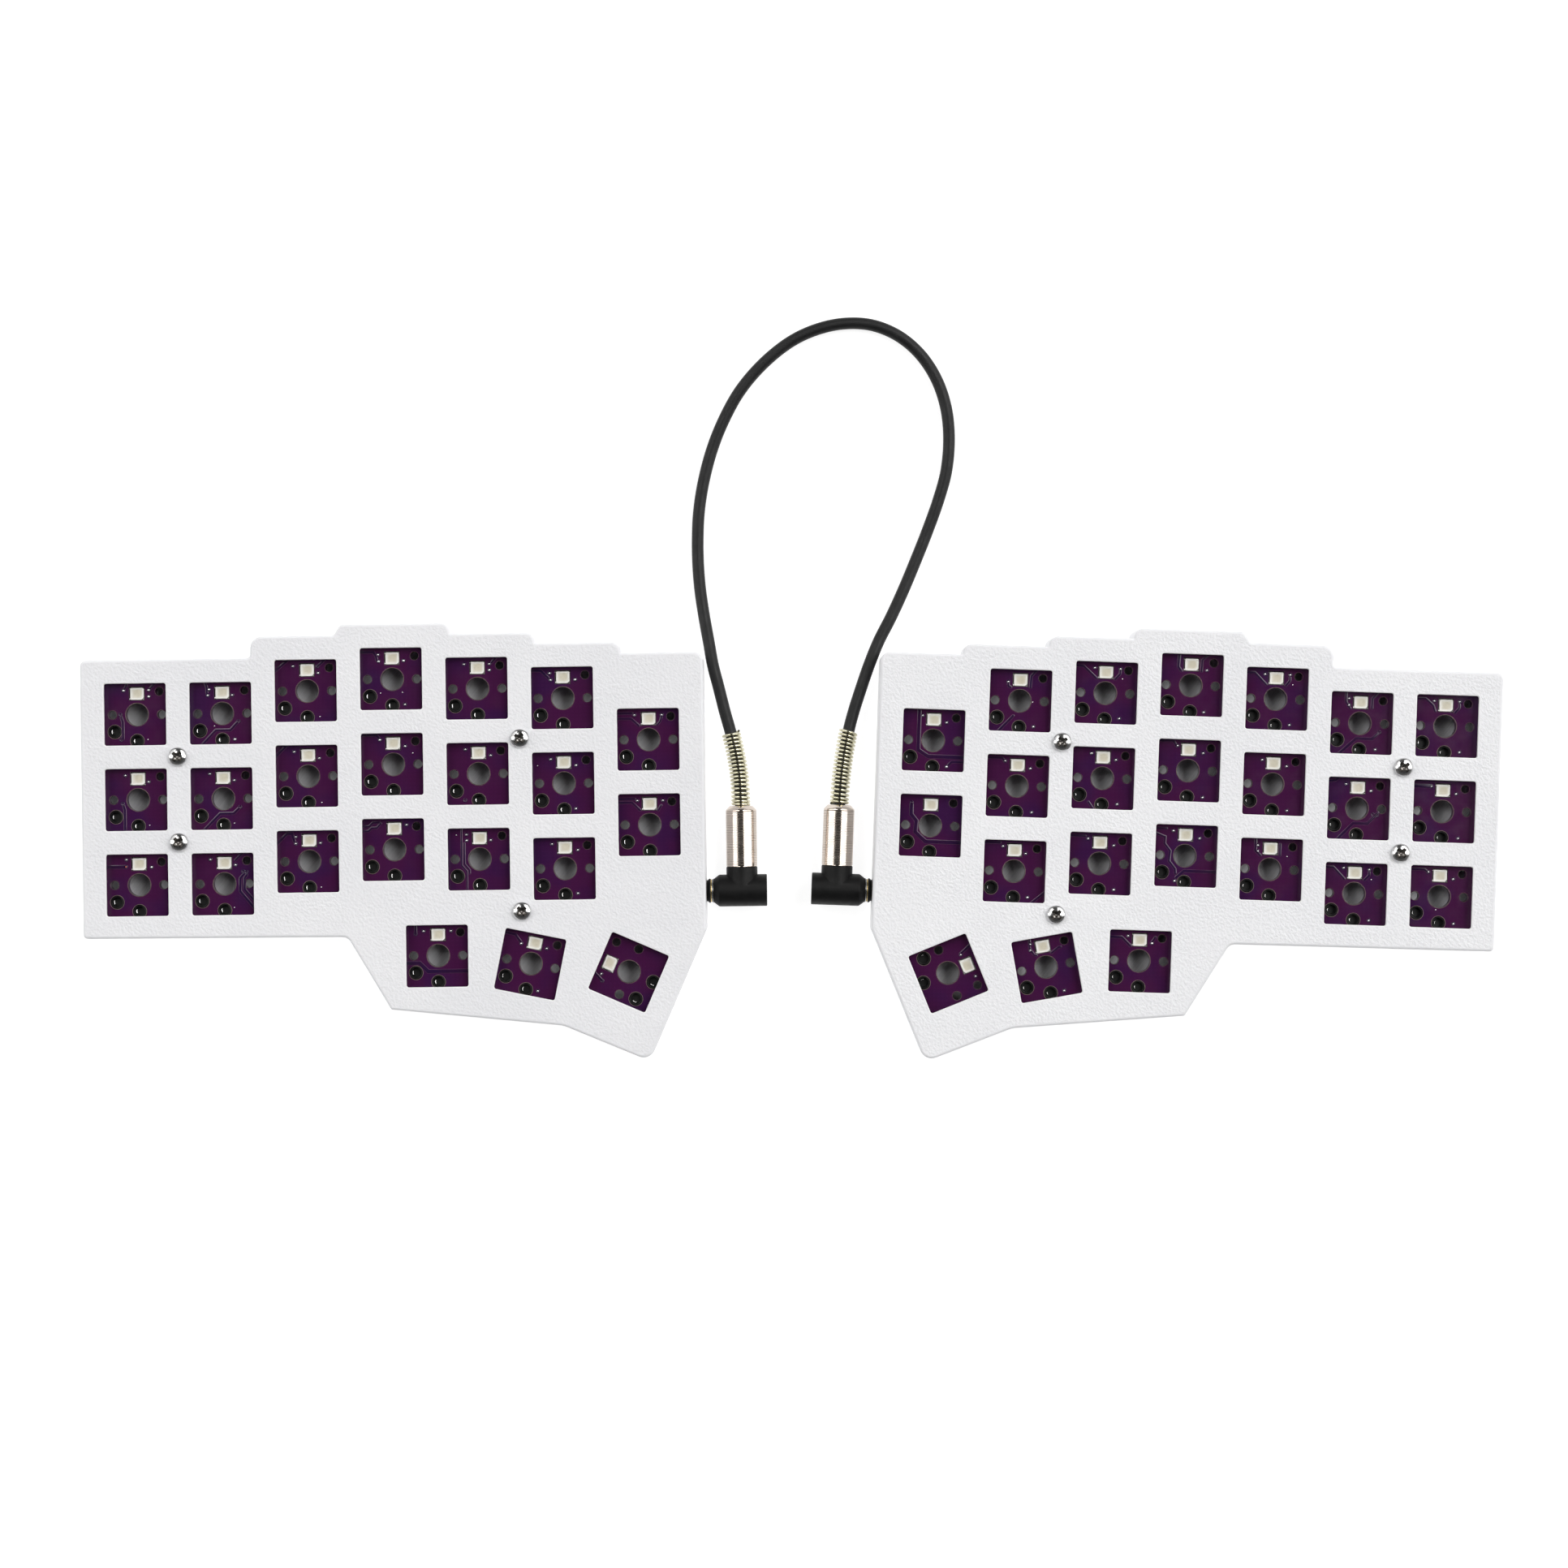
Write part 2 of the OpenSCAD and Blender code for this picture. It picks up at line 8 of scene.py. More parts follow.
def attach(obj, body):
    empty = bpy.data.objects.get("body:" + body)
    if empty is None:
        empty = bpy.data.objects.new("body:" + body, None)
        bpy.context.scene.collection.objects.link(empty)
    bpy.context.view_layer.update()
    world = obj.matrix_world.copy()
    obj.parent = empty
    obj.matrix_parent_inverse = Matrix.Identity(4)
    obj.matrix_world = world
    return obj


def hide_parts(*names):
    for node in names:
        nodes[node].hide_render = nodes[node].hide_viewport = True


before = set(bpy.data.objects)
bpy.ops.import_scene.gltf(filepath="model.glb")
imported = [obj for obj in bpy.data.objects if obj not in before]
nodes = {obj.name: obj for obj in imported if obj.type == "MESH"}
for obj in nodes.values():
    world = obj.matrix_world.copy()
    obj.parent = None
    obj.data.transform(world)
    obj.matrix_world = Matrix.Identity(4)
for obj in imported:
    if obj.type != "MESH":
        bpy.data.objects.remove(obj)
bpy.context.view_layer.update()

scene = bpy.context.scene
MM = 0.001
SIDES = ("left", "right")

# ------------------------------------------------------------------ layout, in millimetres
PITCH = 19.05
OUT = [(-12.2, 12.2, 1.4), (25.8, 12.2, 0.9), (25.8, 17.0, 2.6), (44.4, 17.0, 0.6), (46.0, 19.4, 1.0), (70.4, 19.4, 2.1),
       (70.4, 17.0, 0.25), (89.3, 17.0, 2.1), (89.3, 14.6, 0.25), (108.4, 14.6, 2.0), (108.4, 12.2, 0.25), (126.7, 12.2, 2.0),
       (126.7, -49.8, 0.6), (113.7, -78.9, 2.7), (94.5, -70.7, 6.0), (56.2, -66.6, 0.6), (46.7, -50.3, 2.2), (-12.2, -49.9, 1.0)]
STAGGER = [0, 0, 0.25, 0.375, 0.25, 0.125]
KEYS = ([(c * PITCH, (STAGGER[c] - r) * PITCH, 0, "c%dr%d" % (c, r)) for c in range(6) for r in range(3)]
        + [(6 * PITCH, (-0.375 - r) * PITCH, 0, "c6r%d" % r) for r in range(2)]
        + [(66.6, -54.8, 0, "thumb_outer"), (87.3, -56.9, -12, "thumb_middle"), (109.2, -59.0, 66, "thumb_inner")])
SCREWS = [(9.5, -9.5), (9.5, -28.6), (85.7, -6.5), (85.7, -45.0)]
FEET = [(-5, 5), (-5, -42.5), (118, 4), (110, -70), (64, -59)]
YAW = {"left": 0.8, "right": -2.0}
ANCHOR = {"left": (-146.5, 28.6), "right": (146.0, 26.0)}
MIDDLE = (-0.14006, 0.42207)
Z_FOOT, Z_INSIDE, Z_BOARD, Z_BOARD_TOP, Z_PLATE, Z_TOP = 1.6, 3.6, 8.8, 10.4, 11.3, 12.6
EDGE_R = 0.6
WALL_X, JACK_Y, JACK_Z = 126.7, -41.3, 6.3
USB_X, USB_Z = 117.5, 7.17
NECK_X, SLEEVE_END = 8.0, 19.0


def rot(p, a):
    a = math.radians(a)
    return (p[0] * math.cos(a) - p[1] * math.sin(a), p[0] * math.sin(a) + p[1] * math.cos(a))


def unit2(v):
    n = math.hypot(*v)
    return (v[0] / n, v[1] / n)


def corner(i, d, keep, count):
    """The rounded corner i of the outline, moved inwards by d."""
    n = len(OUT)
    p0, p1, p2 = OUT[(i - 1) % n], OUT[i], OUT[(i + 1) % n]
    e1 = unit2((p1[0] - p0[0], p1[1] - p0[1]))
    e2 = unit2((p2[0] - p1[0], p2[1] - p1[1]))
    n1, n2 = (e1[1], -e1[0]), (e2[1], -e2[0])
    k = d / (1 + n1[0] * n2[0] + n1[1] * n2[1])
    c = (p1[0] + k * (n1[0] + n2[0]), p1[1] + k * (n1[1] + n2[1]))
    s = 1 if e1[0] * e2[1] - e1[1] * e2[0] < 0 else -1
    t = math.degrees(math.acos(max(-1, min(1, e1[0] * e2[0] + e1[1] * e2[1]))))
    r = max(p1[2] - d, 0.05) if s > 0 else p1[2] + d * keep
    reach = r * math.tan(math.radians(t / 2))
    a = (c[0] - e1[0] * reach, c[1] - e1[1] * reach)
    m = (a[0] + n1[0] * r * s, a[1] + n1[1] * r * s)
    out = []
    for j in range(count + 1):
        v = rot((-n1[0] * r * s, -n1[1] * r * s), -s * t * j / count)
        out.append((m[0] + v[0], m[1] + v[1]))
    return out


def outline(d, keep, count=8):
    return [q for i in range(len(OUT)) for q in corner(i, d, keep, count)]


def desk(side, p):
    q = rot(p, YAW["left"]) if side == "left" else rot((-p[0], p[1]), YAW["right"])
    return (q[0] + ANCHOR[side][0] - MIDDLE[0], q[1] + ANCHOR[side][1] - MIDDLE[1])


def on_desk(side, p):
    x, y = desk(side, p[:2])
    return (x, y, p[2])


def site(side, key, p, z):
    """A point of a switch site, whose hole pattern has the same hand on both halves."""
    q = (p[0], p[1]) if side == "left" else (-p[0], p[1])
    q = rot(q, key[2])
    return on_desk(side, (key[0] + q[0], key[1] + q[1], z))


# ------------------------------------------------------------------ camera
camera = bpy.data.objects.new("camera", bpy.data.cameras.new("camera"))
scene.collection.objects.link(camera)
camera.location = (-0.00169, 0.01268, 0.6376)
camera.data.sensor_width = 36
camera.data.lens = 36 * 625 / 349.4
camera.data.clip_start = 0.01
camera.data.clip_end = 20
scene.camera = camera

# ------------------------------------------------------------------ cord route
FREE = [(-15.2, 29.5, 5.0), (-16.6, 35.0, 4.3), (-17.9, 40.0, 3.7), (-18.9, 45.5, 3.1), (-19.9, 51.0, 2.5), (-20.8, 57.0, 2.0),
        (-21.3, 63.0, 1.6), (-21.4, 69.0, 1.4), (-21.1, 75.0, 1.4), (-20.1, 81.5, 1.4), (-18.3, 88.5, 1.4), (-15.7, 95.2, 1.4),
        (-12.0, 102.0, 1.4), (-7.0, 108.0, 1.4), (-1.0, 113.0, 1.4), (5.0, 116.0, 1.4), (11.5, 117.5, 1.4), (18.0, 117.2, 1.4),
        (24.0, 114.8, 1.4), (29.0, 110.6, 1.4), (32.7, 105.0, 1.4), (34.9, 98.5, 1.4), (35.6, 91.5, 1.4), (35.0, 84.2, 1.4),
        (33.2, 77.5, 1.4), (30.7, 70.5, 1.4), (28.0, 63.7, 1.7), (25.2, 57.0, 2.2), (22.4, 50.9, 2.8), (19.6, 45.4, 3.3),
        (17.4, 40.0, 3.8), (15.5, 34.5, 4.4), (13.9, 29.5, 5.0)]
LEAD = {"left": [(0, 0, 0), (5.5, -0.2, 0.05), (11, -0.9, 0.3), (16.5, -2.1, 0.7)],
        "right": [(0, 0, 0), (5.5, -0.2, 0.05), (11, -0.7, 0.3), (16.5, -1.5, 0.7)]}


def lead_point(side, q):
    return on_desk(side, (WALL_X + NECK_X + q[1], JACK_Y + SLEEVE_END + q[0], JACK_Z - q[2]))


ROUTE = ([lead_point("left", q) for q in LEAD["left"]] + [(p[0] - MIDDLE[0], p[1] - MIDDLE[1], p[2]) for p in FREE]
         + [lead_point("right", q) for q in reversed(LEAD["right"])])
ROUTE = [Vector(p) for p in ROUTE]
LAST = len(ROUTE) - 1


def along(u):
    i = min(LAST - 1, max(0, math.floor(u)))
    a, b, c, d = (ROUTE[max(0, min(LAST, k))] for k in (i - 1, i, i + 1, i + 2))
    t = u - i
    return 0.5 * (2 * b + (c - a) * t + (2 * a - 5 * b + 4 * c - d) * t * t + (3 * b - a - 3 * c + d) * t * t * t)


def heading(u):
    return (along(min(LAST, u + 0.05)) - along(max(0, u - 0.05))).normalized()


def side_of(u):
    return heading(u).cross(Vector((0, 0, 1))).normalized()


def up_of(u):
    return side_of(u).cross(heading(u))


# ------------------------------------------------------------------ materials
def nodes_of(name):
    m = bpy.data.materials.new(name)
    m.use_nodes = True
    return m, m.node_tree, m.node_tree.nodes["Principled BSDF"]


def new(nt, kind, **values):
    n = nt.nodes.new(kind)
    for k, v in values.items():
        setattr(n, k, v)
    return n


def coords(nt, scale=(1, 1, 1), turn=0.0):
    """Object coordinates, turned about Z, then scaled along the turned axes."""
    tc = new(nt, "ShaderNodeTexCoord")
    mp = new(nt, "ShaderNodeMapping", vector_type="TEXTURE")
    mp.inputs["Scale"].default_value = tuple(1 / s for s in scale)
    mp.inputs["Rotation"].default_value = (0, 0, math.radians(turn))
    nt.links.new(tc.outputs["Object"], mp.inputs["Vector"])
    return mp.outputs["Vector"]


def noise(nt, vector, scale, detail=3.0, rough=0.5):
    n = new(nt, "ShaderNodeTexNoise")
    n.inputs["Scale"].default_value = scale
    n.inputs["Detail"].default_value = detail
    n.inputs["Roughness"].default_value = rough
    nt.links.new(vector, n.inputs["Vector"])
    return n.outputs["Fac"]


def remap(nt, value, a, b, lo, hi, smooth=False):
    n = new(nt, "ShaderNodeMapRange")
    if smooth:
        n.interpolation_type = "SMOOTHSTEP"
    for k, v in (("From Min", a), ("From Max", b), ("To Min", lo), ("To Max", hi)):
        n.inputs[k].default_value = v
    nt.links.new(value, n.inputs["Value"])
    return n.outputs["Result"]


def mix(nt, factor, c1, c2):
    n = new(nt, "ShaderNodeMix", data_type="RGBA")
    nt.links.new(factor, n.inputs["Factor"])
    for c, name in ((c1, 6), (c2, 7)):
        if isinstance(c, tuple):
            n.inputs[name].default_value = (*c, 1)
        else:
            nt.links.new(c, n.inputs[name])
    return n.outputs[2]


def math_node(nt, op, a, b=None):
    n = new(nt, "ShaderNodeMath", operation=op)
    for i, v in enumerate((a, b)):
        if v is None:
            continue
        if isinstance(v, (int, float)):
            n.inputs[i].default_value = v
        else:
            nt.links.new(v, n.inputs[i])
    return n.outputs[0]


def bump(nt, height, distance, shader, strength=1.0, normal=None):
    n = new(nt, "ShaderNodeBump")
    n.inputs["Distance"].default_value = distance
    n.inputs["Strength"].default_value = strength
    nt.links.new(height, n.inputs["Height"])
    if normal is not None:
        nt.links.new(normal, n.inputs["Normal"])
    if shader is not None:
        nt.links.new(n.outputs["Normal"], shader.inputs["Normal"])
    return n.outputs["Normal"]


def plain(name, c1, c2, scale, rough, metallic=0.0, bump_mm=0.01, bump_scale=2500, stretch=(1, 1, 1), turn=0, ior=1.5,
          spec=0.5, coat=0.0, coat_rough=0.1):
    """A finish with colour and roughness that vary over the surface, and a fine relief."""
    m, nt, b = nodes_of(name)
    v = coords(nt, stretch, turn)
    nt.links.new(mix(nt, remap(nt, noise(nt, v, scale), 0.3, 0.7, 0, 1), c1, c2), b.inputs["Base Color"])
    nt.links.new(remap(nt, noise(nt, v, scale * 2.3, 4), 0.3, 0.7, *rough), b.inputs["Roughness"])
    b.inputs["Metallic"].default_value = metallic
    b.inputs["IOR"].default_value = ior
    b.inputs["Specular IOR Level"].default_value = spec
    b.inputs["Coat Weight"].default_value = coat
    b.inputs["Coat Roughness"].default_value = coat_rough
    bump(nt, noise(nt, v, bump_scale, 4), bump_mm * MM, b)
    return m


def case_material(name, grain, turn=40, stretch=0.6, depth=0.12, low=(0.782, 0.785, 0.812), high=(0.822, 0.823, 0.845)):
    """White moulded plastic. The grained face has fine round pebbles that lean a little one way."""
    m, nt, b = nodes_of(name)
    v = coords(nt)
    nt.links.new(mix(nt, remap(nt, noise(nt, v, 45, 4), 0.3, 0.7, 0, 1), low, high), b.inputs["Base Color"])
    nt.links.new(remap(nt, noise(nt, v, 300, 3), 0.3, 0.7, 0.42 if grain else 0.34, 0.56 if grain else 0.44), b.inputs["Roughness"])
    if grain:
        lean = coords(nt, (1.0, stretch, 1.0), turn)
        cells = new(nt, "ShaderNodeTexVoronoi", feature="SMOOTH_F1")
        cells.inputs["Scale"].default_value = 2000
        cells.inputs["Smoothness"].default_value = 0.6
        cells.inputs["Randomness"].default_value = 1.0
        nt.links.new(lean, cells.inputs["Vector"])
        worms = remap(nt, noise(nt, lean, 1680, 2.0, 0.5), 0.36, 0.68, 0, 1, True)
        wide = noise(nt, v, 830, 2.0, 0.5)
        fine = noise(nt, v, 3600, 2, 0.5)
        height = math_node(nt, "ADD", math_node(nt, "MULTIPLY", cells.outputs["Distance"], -0.35),
                           math_node(nt, "ADD", math_node(nt, "MULTIPLY", worms, 0.55),
                                     math_node(nt, "ADD", math_node(nt, "MULTIPLY", wide, 0.44), math_node(nt, "MULTIPLY", fine, 0.08))))
        bump(nt, height, depth * MM, b)
    else:
        bump(nt, noise(nt, v, 1500, 3), 0.004 * MM, b)
    return m


def board_material(name, warm, cool, lift=0.0):
    """Glossy lacquer over copper: warm over the copper, cooler where the copper is etched away."""
    m, nt, b = nodes_of(name)
    v = coords(nt)
    patches = remap(nt, noise(nt, v, 95, 2.0, 0.45), 0.42, 0.70, 0, 1, True)
    shade = mix(nt, patches, warm, cool)
    weave = new(nt, "ShaderNodeTexWave", wave_type="BANDS", bands_direction="X")
    weave.inputs["Scale"].default_value = 330
    weave.inputs["Distortion"].default_value = 0.4
    nt.links.new(v, weave.inputs["Vector"])
    weft = new(nt, "ShaderNodeTexWave", wave_type="BANDS", bands_direction="Y")
    weft.inputs["Scale"].default_value = 330
    weft.inputs["Distortion"].default_value = 0.4
    nt.links.new(v, weft.inputs["Vector"])
    cloth = math_node(nt, "MULTIPLY", weave.outputs["Fac"], weft.outputs["Fac"])
    dark = new(nt, "ShaderNodeMix", data_type="RGBA", blend_type="MULTIPLY")
    dark.inputs["Factor"].default_value = 0.16
    nt.links.new(shade, dark.inputs[6])
    nt.links.new(mix(nt, cloth, (0.55, 0.55, 0.6), (1.0, 1.0, 1.0)), dark.inputs[7])
    nt.links.new(dark.outputs[2], b.inputs["Base Color"])
    nt.links.new(remap(nt, noise(nt, v, 420, 3), 0.3, 0.7, 0.10, 0.18), b.inputs["Roughness"])
    bump(nt, noise(nt, v, 700, 3, 0.5), 0.006 * MM, b)
    return m


def brushed_material(name, c1, c2, turn):
    """Brushed metal plate: long fine lines in one direction."""
    m, nt, b = nodes_of(name)
    v = coords(nt, (1.0, 0.035, 1.0), turn)
    lines = noise(nt, v, 4200, 3, 0.65)
    broad = noise(nt, v, 900, 2, 0.5)
    both = math_node(nt, "ADD", math_node(nt, "MULTIPLY", lines, 0.65), math_node(nt, "MULTIPLY", broad, 0.35))
    nt.links.new(mix(nt, remap(nt, both, 0.32, 0.68, 0, 1), c1, c2), b.inputs["Base Color"])
    nt.links.new(remap(nt, both, 0.3, 0.7, 0.68, 0.84), b.inputs["Roughness"])
    b.inputs["Metallic"].default_value = 1.0
    bump(nt, both, 0.012 * MM, b)
    return m


M = {}
M["case_left"] = case_material("case_grained_left", True, 52, 0.88, 0.088)
# both halves are the same plastic; the right half's colours are a few percent lighter: painted light, for the brighter
# light on that half
M["case_right"] = case_material("case_grained_right", True, 36, 0.92, 0.104, (0.806, 0.810, 0.836), (0.846, 0.849, 0.870))
M["case_rim"] = case_material("case_smooth", False)
# the same white plastic made brighter for the rounded lip of each key opening: painted highlight along the opening
# edges
M["case_lip_painted_highlight"] = case_material("case_lip_painted_highlight", False, low=(0.88, 0.88, 0.89), high=(0.92, 0.92, 0.93))
M["board"] = board_material("board_lacquer", (0.053, 0.0062, 0.047), (0.039, 0.0066, 0.053))
M["track"] = board_material("board_track_lacquer", (0.027, 0.0055, 0.036), (0.020, 0.0055, 0.040))
# lighter lacquer for the tracks' sloped edges: painted highlight along each track's edges
M["track_edge"] = plain("board_track_edge_painted_highlight", (0.060, 0.019, 0.058), (0.092, 0.034, 0.086), 900, (0.14, 0.24), bump_mm=0.003)
M["laminate"] = plain("board_hole_rim", (0.10, 0.074, 0.064), (0.19, 0.148, 0.120), 900, (0.35, 0.55), bump_mm=0.01)
M["cut_edge"] = plain("board_cut_edge", (0.050, 0.034, 0.036), (0.100, 0.076, 0.072), 700, (0.35, 0.55), bump_mm=0.01)
M["tin"] = plain("solder_tin", (0.80, 0.80, 0.80), (0.92, 0.91, 0.89), 1500, (0.16, 0.30), 1.0, 0.008, 3000)
M["copper_dot"] = plain("copper_dot", (0.45, 0.10, 0.06), (0.62, 0.18, 0.10), 2500, (0.3, 0.45), 1.0, 0.008, 3000)
M["cover"] = brushed_material("cover_brushed", (0.80, 0.80, 0.82), (0.97, 0.97, 0.98), -38)
M["socket"] = plain("socket_moulding", (0.004, 0.0045, 0.004), (0.008, 0.0085, 0.008), 700, (0.34, 0.50), bump_mm=0.006, spec=0.3)
M["chip"] = plain("chip_moulding", (0.012, 0.012, 0.013), (0.022, 0.022, 0.023), 900, (0.5, 0.7), bump_mm=0.01, bump_scale=6000)
M["gold"] = plain("gold_plating", (0.80, 0.60, 0.28), (0.90, 0.71, 0.38), 600, (0.16, 0.28), 1.0, 0.004, 2500, (1, 1, 0.1))
M["steel"] = plain("can_steel", (0.60, 0.60, 0.62), (0.72, 0.72, 0.74), 500, (0.24, 0.36), 1.0, 0.005, 3000, (1, 0.12, 1))
M["brass"] = plain("turned_brass", (0.62, 0.44, 0.17), (0.76, 0.57, 0.26), 500, (0.22, 0.36), 1.0, 0.006, 2500, (0.2, 0.2, 1))
M["chrome"] = plain("screw_nickel", (0.62, 0.62, 0.63), (0.76, 0.755, 0.75), 700, (0.10, 0.20), 1.0, 0.004, 2500)
M["rubber"] = plain("foot_rubber", (0.020, 0.020, 0.021), (0.034, 0.034, 0.035), 500, (0.62, 0.82), bump_mm=0.02, bump_scale=3500)
M["button_dark"] = plain("button_dark", (0.018, 0.018, 0.018), (0.03, 0.03, 0.03), 900, (0.4, 0.55), bump_mm=0.006)
M["button_pale"] = plain("button_pale", (0.62, 0.57, 0.44), (0.72, 0.68, 0.55), 900, (0.4, 0.55), bump_mm=0.006)
M["cord"] = plain("cord_jacket", (0.0055, 0.0055, 0.006), (0.0095, 0.0095, 0.0102), 260, (0.42, 0.55), bump_mm=0.02, bump_scale=900, spec=0.32)
M["plug"] = plain("plug_moulding", (0.0032, 0.0032, 0.0034), (0.0056, 0.0056, 0.0058), 380, (0.42, 0.56), bump_mm=0.012, bump_scale=1800, spec=0.20)
# darker nickel for the faces cut into the screw heads' cross recess: painted shade inside the recess
M["recess"] = plain("screw_recess_painted_shade", (0.17, 0.155, 0.145), (0.30, 0.285, 0.27), 1500, (0.16, 0.28), 1.0, 0.004, 2500)
M["sleeve"] = plain("sleeve_nickel", (0.63, 0.55, 0.485), (0.73, 0.65, 0.58), 420, (0.11, 0.18), 1.0, 0.003, 2600, (0.4, 1, 0.4))
# darker metal for the walls and floors of the sleeve's rib grooves: painted shade between the ribs
M["groove"] = plain("sleeve_groove_painted_shade", (0.30, 0.26, 0.225), (0.40, 0.35, 0.31), 900, (0.25, 0.40), 1.0, 0.003, 2600)
M["spring"] = plain("spring_zinc", (0.60, 0.57, 0.41), (0.76, 0.73, 0.56), 520, (0.09, 0.13), 1.0, 0.002, 2600)


def led_material():
    """White cup that goes over into a cream lens; the attribute mid is 1 at the middle of each light."""
    m, nt, b = nodes_of("led_body")
    v = coords(nt)
    at = new(nt, "ShaderNodeAttribute", attribute_name="mid")
    tint = mix(nt, remap(nt, noise(nt, v, 900, 3), 0.3, 0.7, 0, 1), (0.60, 0.56, 0.44), (0.68, 0.64, 0.52))
    rim = mix(nt, remap(nt, noise(nt, v, 1300, 2), 0.3, 0.7, 0, 1), (0.80, 0.79, 0.74), (0.86, 0.85, 0.80))
    nt.links.new(mix(nt, remap(nt, at.outputs["Fac"], 0.10, 0.95, 0, 1, True), rim, tint), b.inputs["Base Color"])
    nt.links.new(remap(nt, noise(nt, v, 1600, 2), 0.3, 0.7, 0.26, 0.40), b.inputs["Roughness"])
    bump(nt, noise(nt, v, 2500, 2), 0.004 * MM, b)
    return m


M["led"] = led_material()


# ------------------------------------------------------------------ mesh building
class Build:
    """Collects points in millimetres and faces with a material number."""

    def __init__(self):
        self.v, self.f, self.m = [], [], []
        self.mid = {}

    def add(self, pts):
        i = len(self.v)
        self.v += [tuple(p) for p in pts]
        return list(range(i, i + len(pts)))

    def face(self, ids, m=0):
        self.f.append(tuple(ids))
        self.m.append(m)

    def strip(self, a, b, m=0, closed=True):
        n = len(a)
        for i in range(n if closed else n - 1):
            j = (i + 1) % n
            self.face((a[i], a[j], b[j], b[i]), m)

    def fan(self, ring, middle, m=0):
        n = len(ring)
        for i in range(n):
            self.face((ring[i], ring[(i + 1) % n], middle), m)

    def lathe(self, profile, place, n=32, mats=None):
        """profile is [(radius, height)], place(x, y, z) puts a point, radius 0 closes an end."""
        rings = []
        for r, h in profile:
            if r < 1e-9:
                rings.append(self.add([place(0, 0, h)]))
            else:
                rings.append(self.add([place(r * math.cos(2 * math.pi * k / n), r * math.sin(2 * math.pi * k / n), h) for k in range(n)]))
        for i, (a, b) in enumerate(zip(rings, rings[1:])):
            m = mats[i] if mats else 0
            if len(a) == 1:
                self.fan(b, a[0], m)
            elif len(b) == 1:
                self.fan(a, b[0], m)
            else:
                self.strip(a, b, m)
        return rings

    def loft(self, rings, m=0, ends=True):
        ids = [self.add(r) for r in rings]
        for a, b in zip(ids, ids[1:]):
            self.strip(a, b, m)
        if ends:
            self.face(ids[0], m)
            self.face(list(reversed(ids[-1])), m)
        return ids

    def done(self, name, mats, angle=30.0, weld=True, weighted=True):
        me = bpy.data.meshes.new(name)
        me.from_pydata([(x * MM, y * MM, z * MM) for x, y, z in self.v], [], self.f)
        for p, k in zip(me.polygons, self.m):
            p.material_index = k
        bm = bmesh.new()
        bm.from_mesh(me)
        if weld:
            bmesh.ops.remove_doubles(bm, verts=bm.verts, dist=1e-6)
        bmesh.ops.recalc_face_normals(bm, faces=bm.faces)
        bm.to_mesh(me)
        bm.free()
        if self.mid:
            layer = me.attributes.new("mid", "FLOAT", "POINT")
            for i, value in self.mid.items():
                layer.data[i].value = value
        o = bpy.data.objects.new(name, me)
        scene.collection.objects.link(o)
        for m in mats:
            me.materials.append(M[m])
        smooth(o, angle, weighted)
        return o


def smooth(o, angle=30.0, weighted=True):
    me = o.data
    me.polygons.foreach_set("use_smooth", [True] * len(me.polygons))
    me.set_sharp_from_angle(angle=math.radians(angle))
    if weighted:
        w = o.modifiers.new("normals", "WEIGHTED_NORMAL")
        w.keep_sharp = True


def boolean(o, cutter, how):
    mod = o.modifiers.new("cut", "BOOLEAN")
    mod.operation = how
    mod.solver = "EXACT"
    mod.object = cutter
    bpy.context.view_layer.update()
    me = bpy.data.meshes.new_from_object(o.evaluated_get(bpy.context.evaluated_depsgraph_get()))
    o.modifiers.clear()
    bm = bmesh.new()
    bm.from_mesh(me)
    bmesh.ops.remove_doubles(bm, verts=bm.verts, dist=5e-7)
    bmesh.ops.dissolve_degenerate(bm, edges=bm.edges, dist=5e-7)
    bm.to_mesh(me)
    bm.free()
    old = o.data
    o.data = me
    bpy.data.meshes.remove(old)
    bpy.data.objects.remove(cutter)
    return o


def inside(points, loops):
    """Even-odd test of points against all loops together."""
    p = np.asarray(points, float)
    odd = np.zeros(len(p), bool)
    for loop in loops:
        q = np.asarray(loop, float)
        for (x1, y1), (x2, y2) in zip(q, np.roll(q, -1, axis=0)):
            if y1 == y2:
                continue
            hit = ((y1 > p[:, 1]) != (y2 > p[:, 1])) & (p[:, 0] < (x2 - x1) * (p[:, 1] - y1) / (y2 - y1) + x1)
            odd ^= hit
    return odd


def fill(loops):
    """Flat face with holes: points and triangles."""
    pts, edges = [], []
    for loop in loops:
        i = len(pts)
        pts += [Vector(p) for p in loop]
        edges += [(i + k, i + (k + 1) % len(loop)) for k in range(len(loop))]
    vo, _, fo, _, _, _ = geometry.delaunay_2d_cdt(pts, edges, [], 0, 1e-7)
    mid = [sum((vo[i] for i in f), Vector((0, 0))) / len(f) for f in fo]
    keep = inside([tuple(m) for m in mid], loops)
    return [tuple(v) for v in vo], [f for f, k in zip(fo, keep) if k]


def soft_square(half, r, n=6):
    """Square with round corners about the origin, anticlockwise."""
    out = []
    for k in range(4):
        cx, cy = ((half - r) * s for s in ((1, 1), (-1, 1), (-1, -1), (1, -1))[k])
        for j in range(n + 1):
            a = math.radians(90 * k + 90 * j / n)
            out.append((cx + r * math.cos(a), cy + r * math.sin(a)))
    return out


def circle(c, r, n=32):
    return [(c[0] + r * math.cos(2 * math.pi * k / n), c[1] + r * math.sin(2 * math.pi * k / n)) for k in range(n)]


def at_key(key, pts):
    return [(key[0] + q[0], key[1] + q[1]) for q in (rot(p, key[2]) for p in pts)]


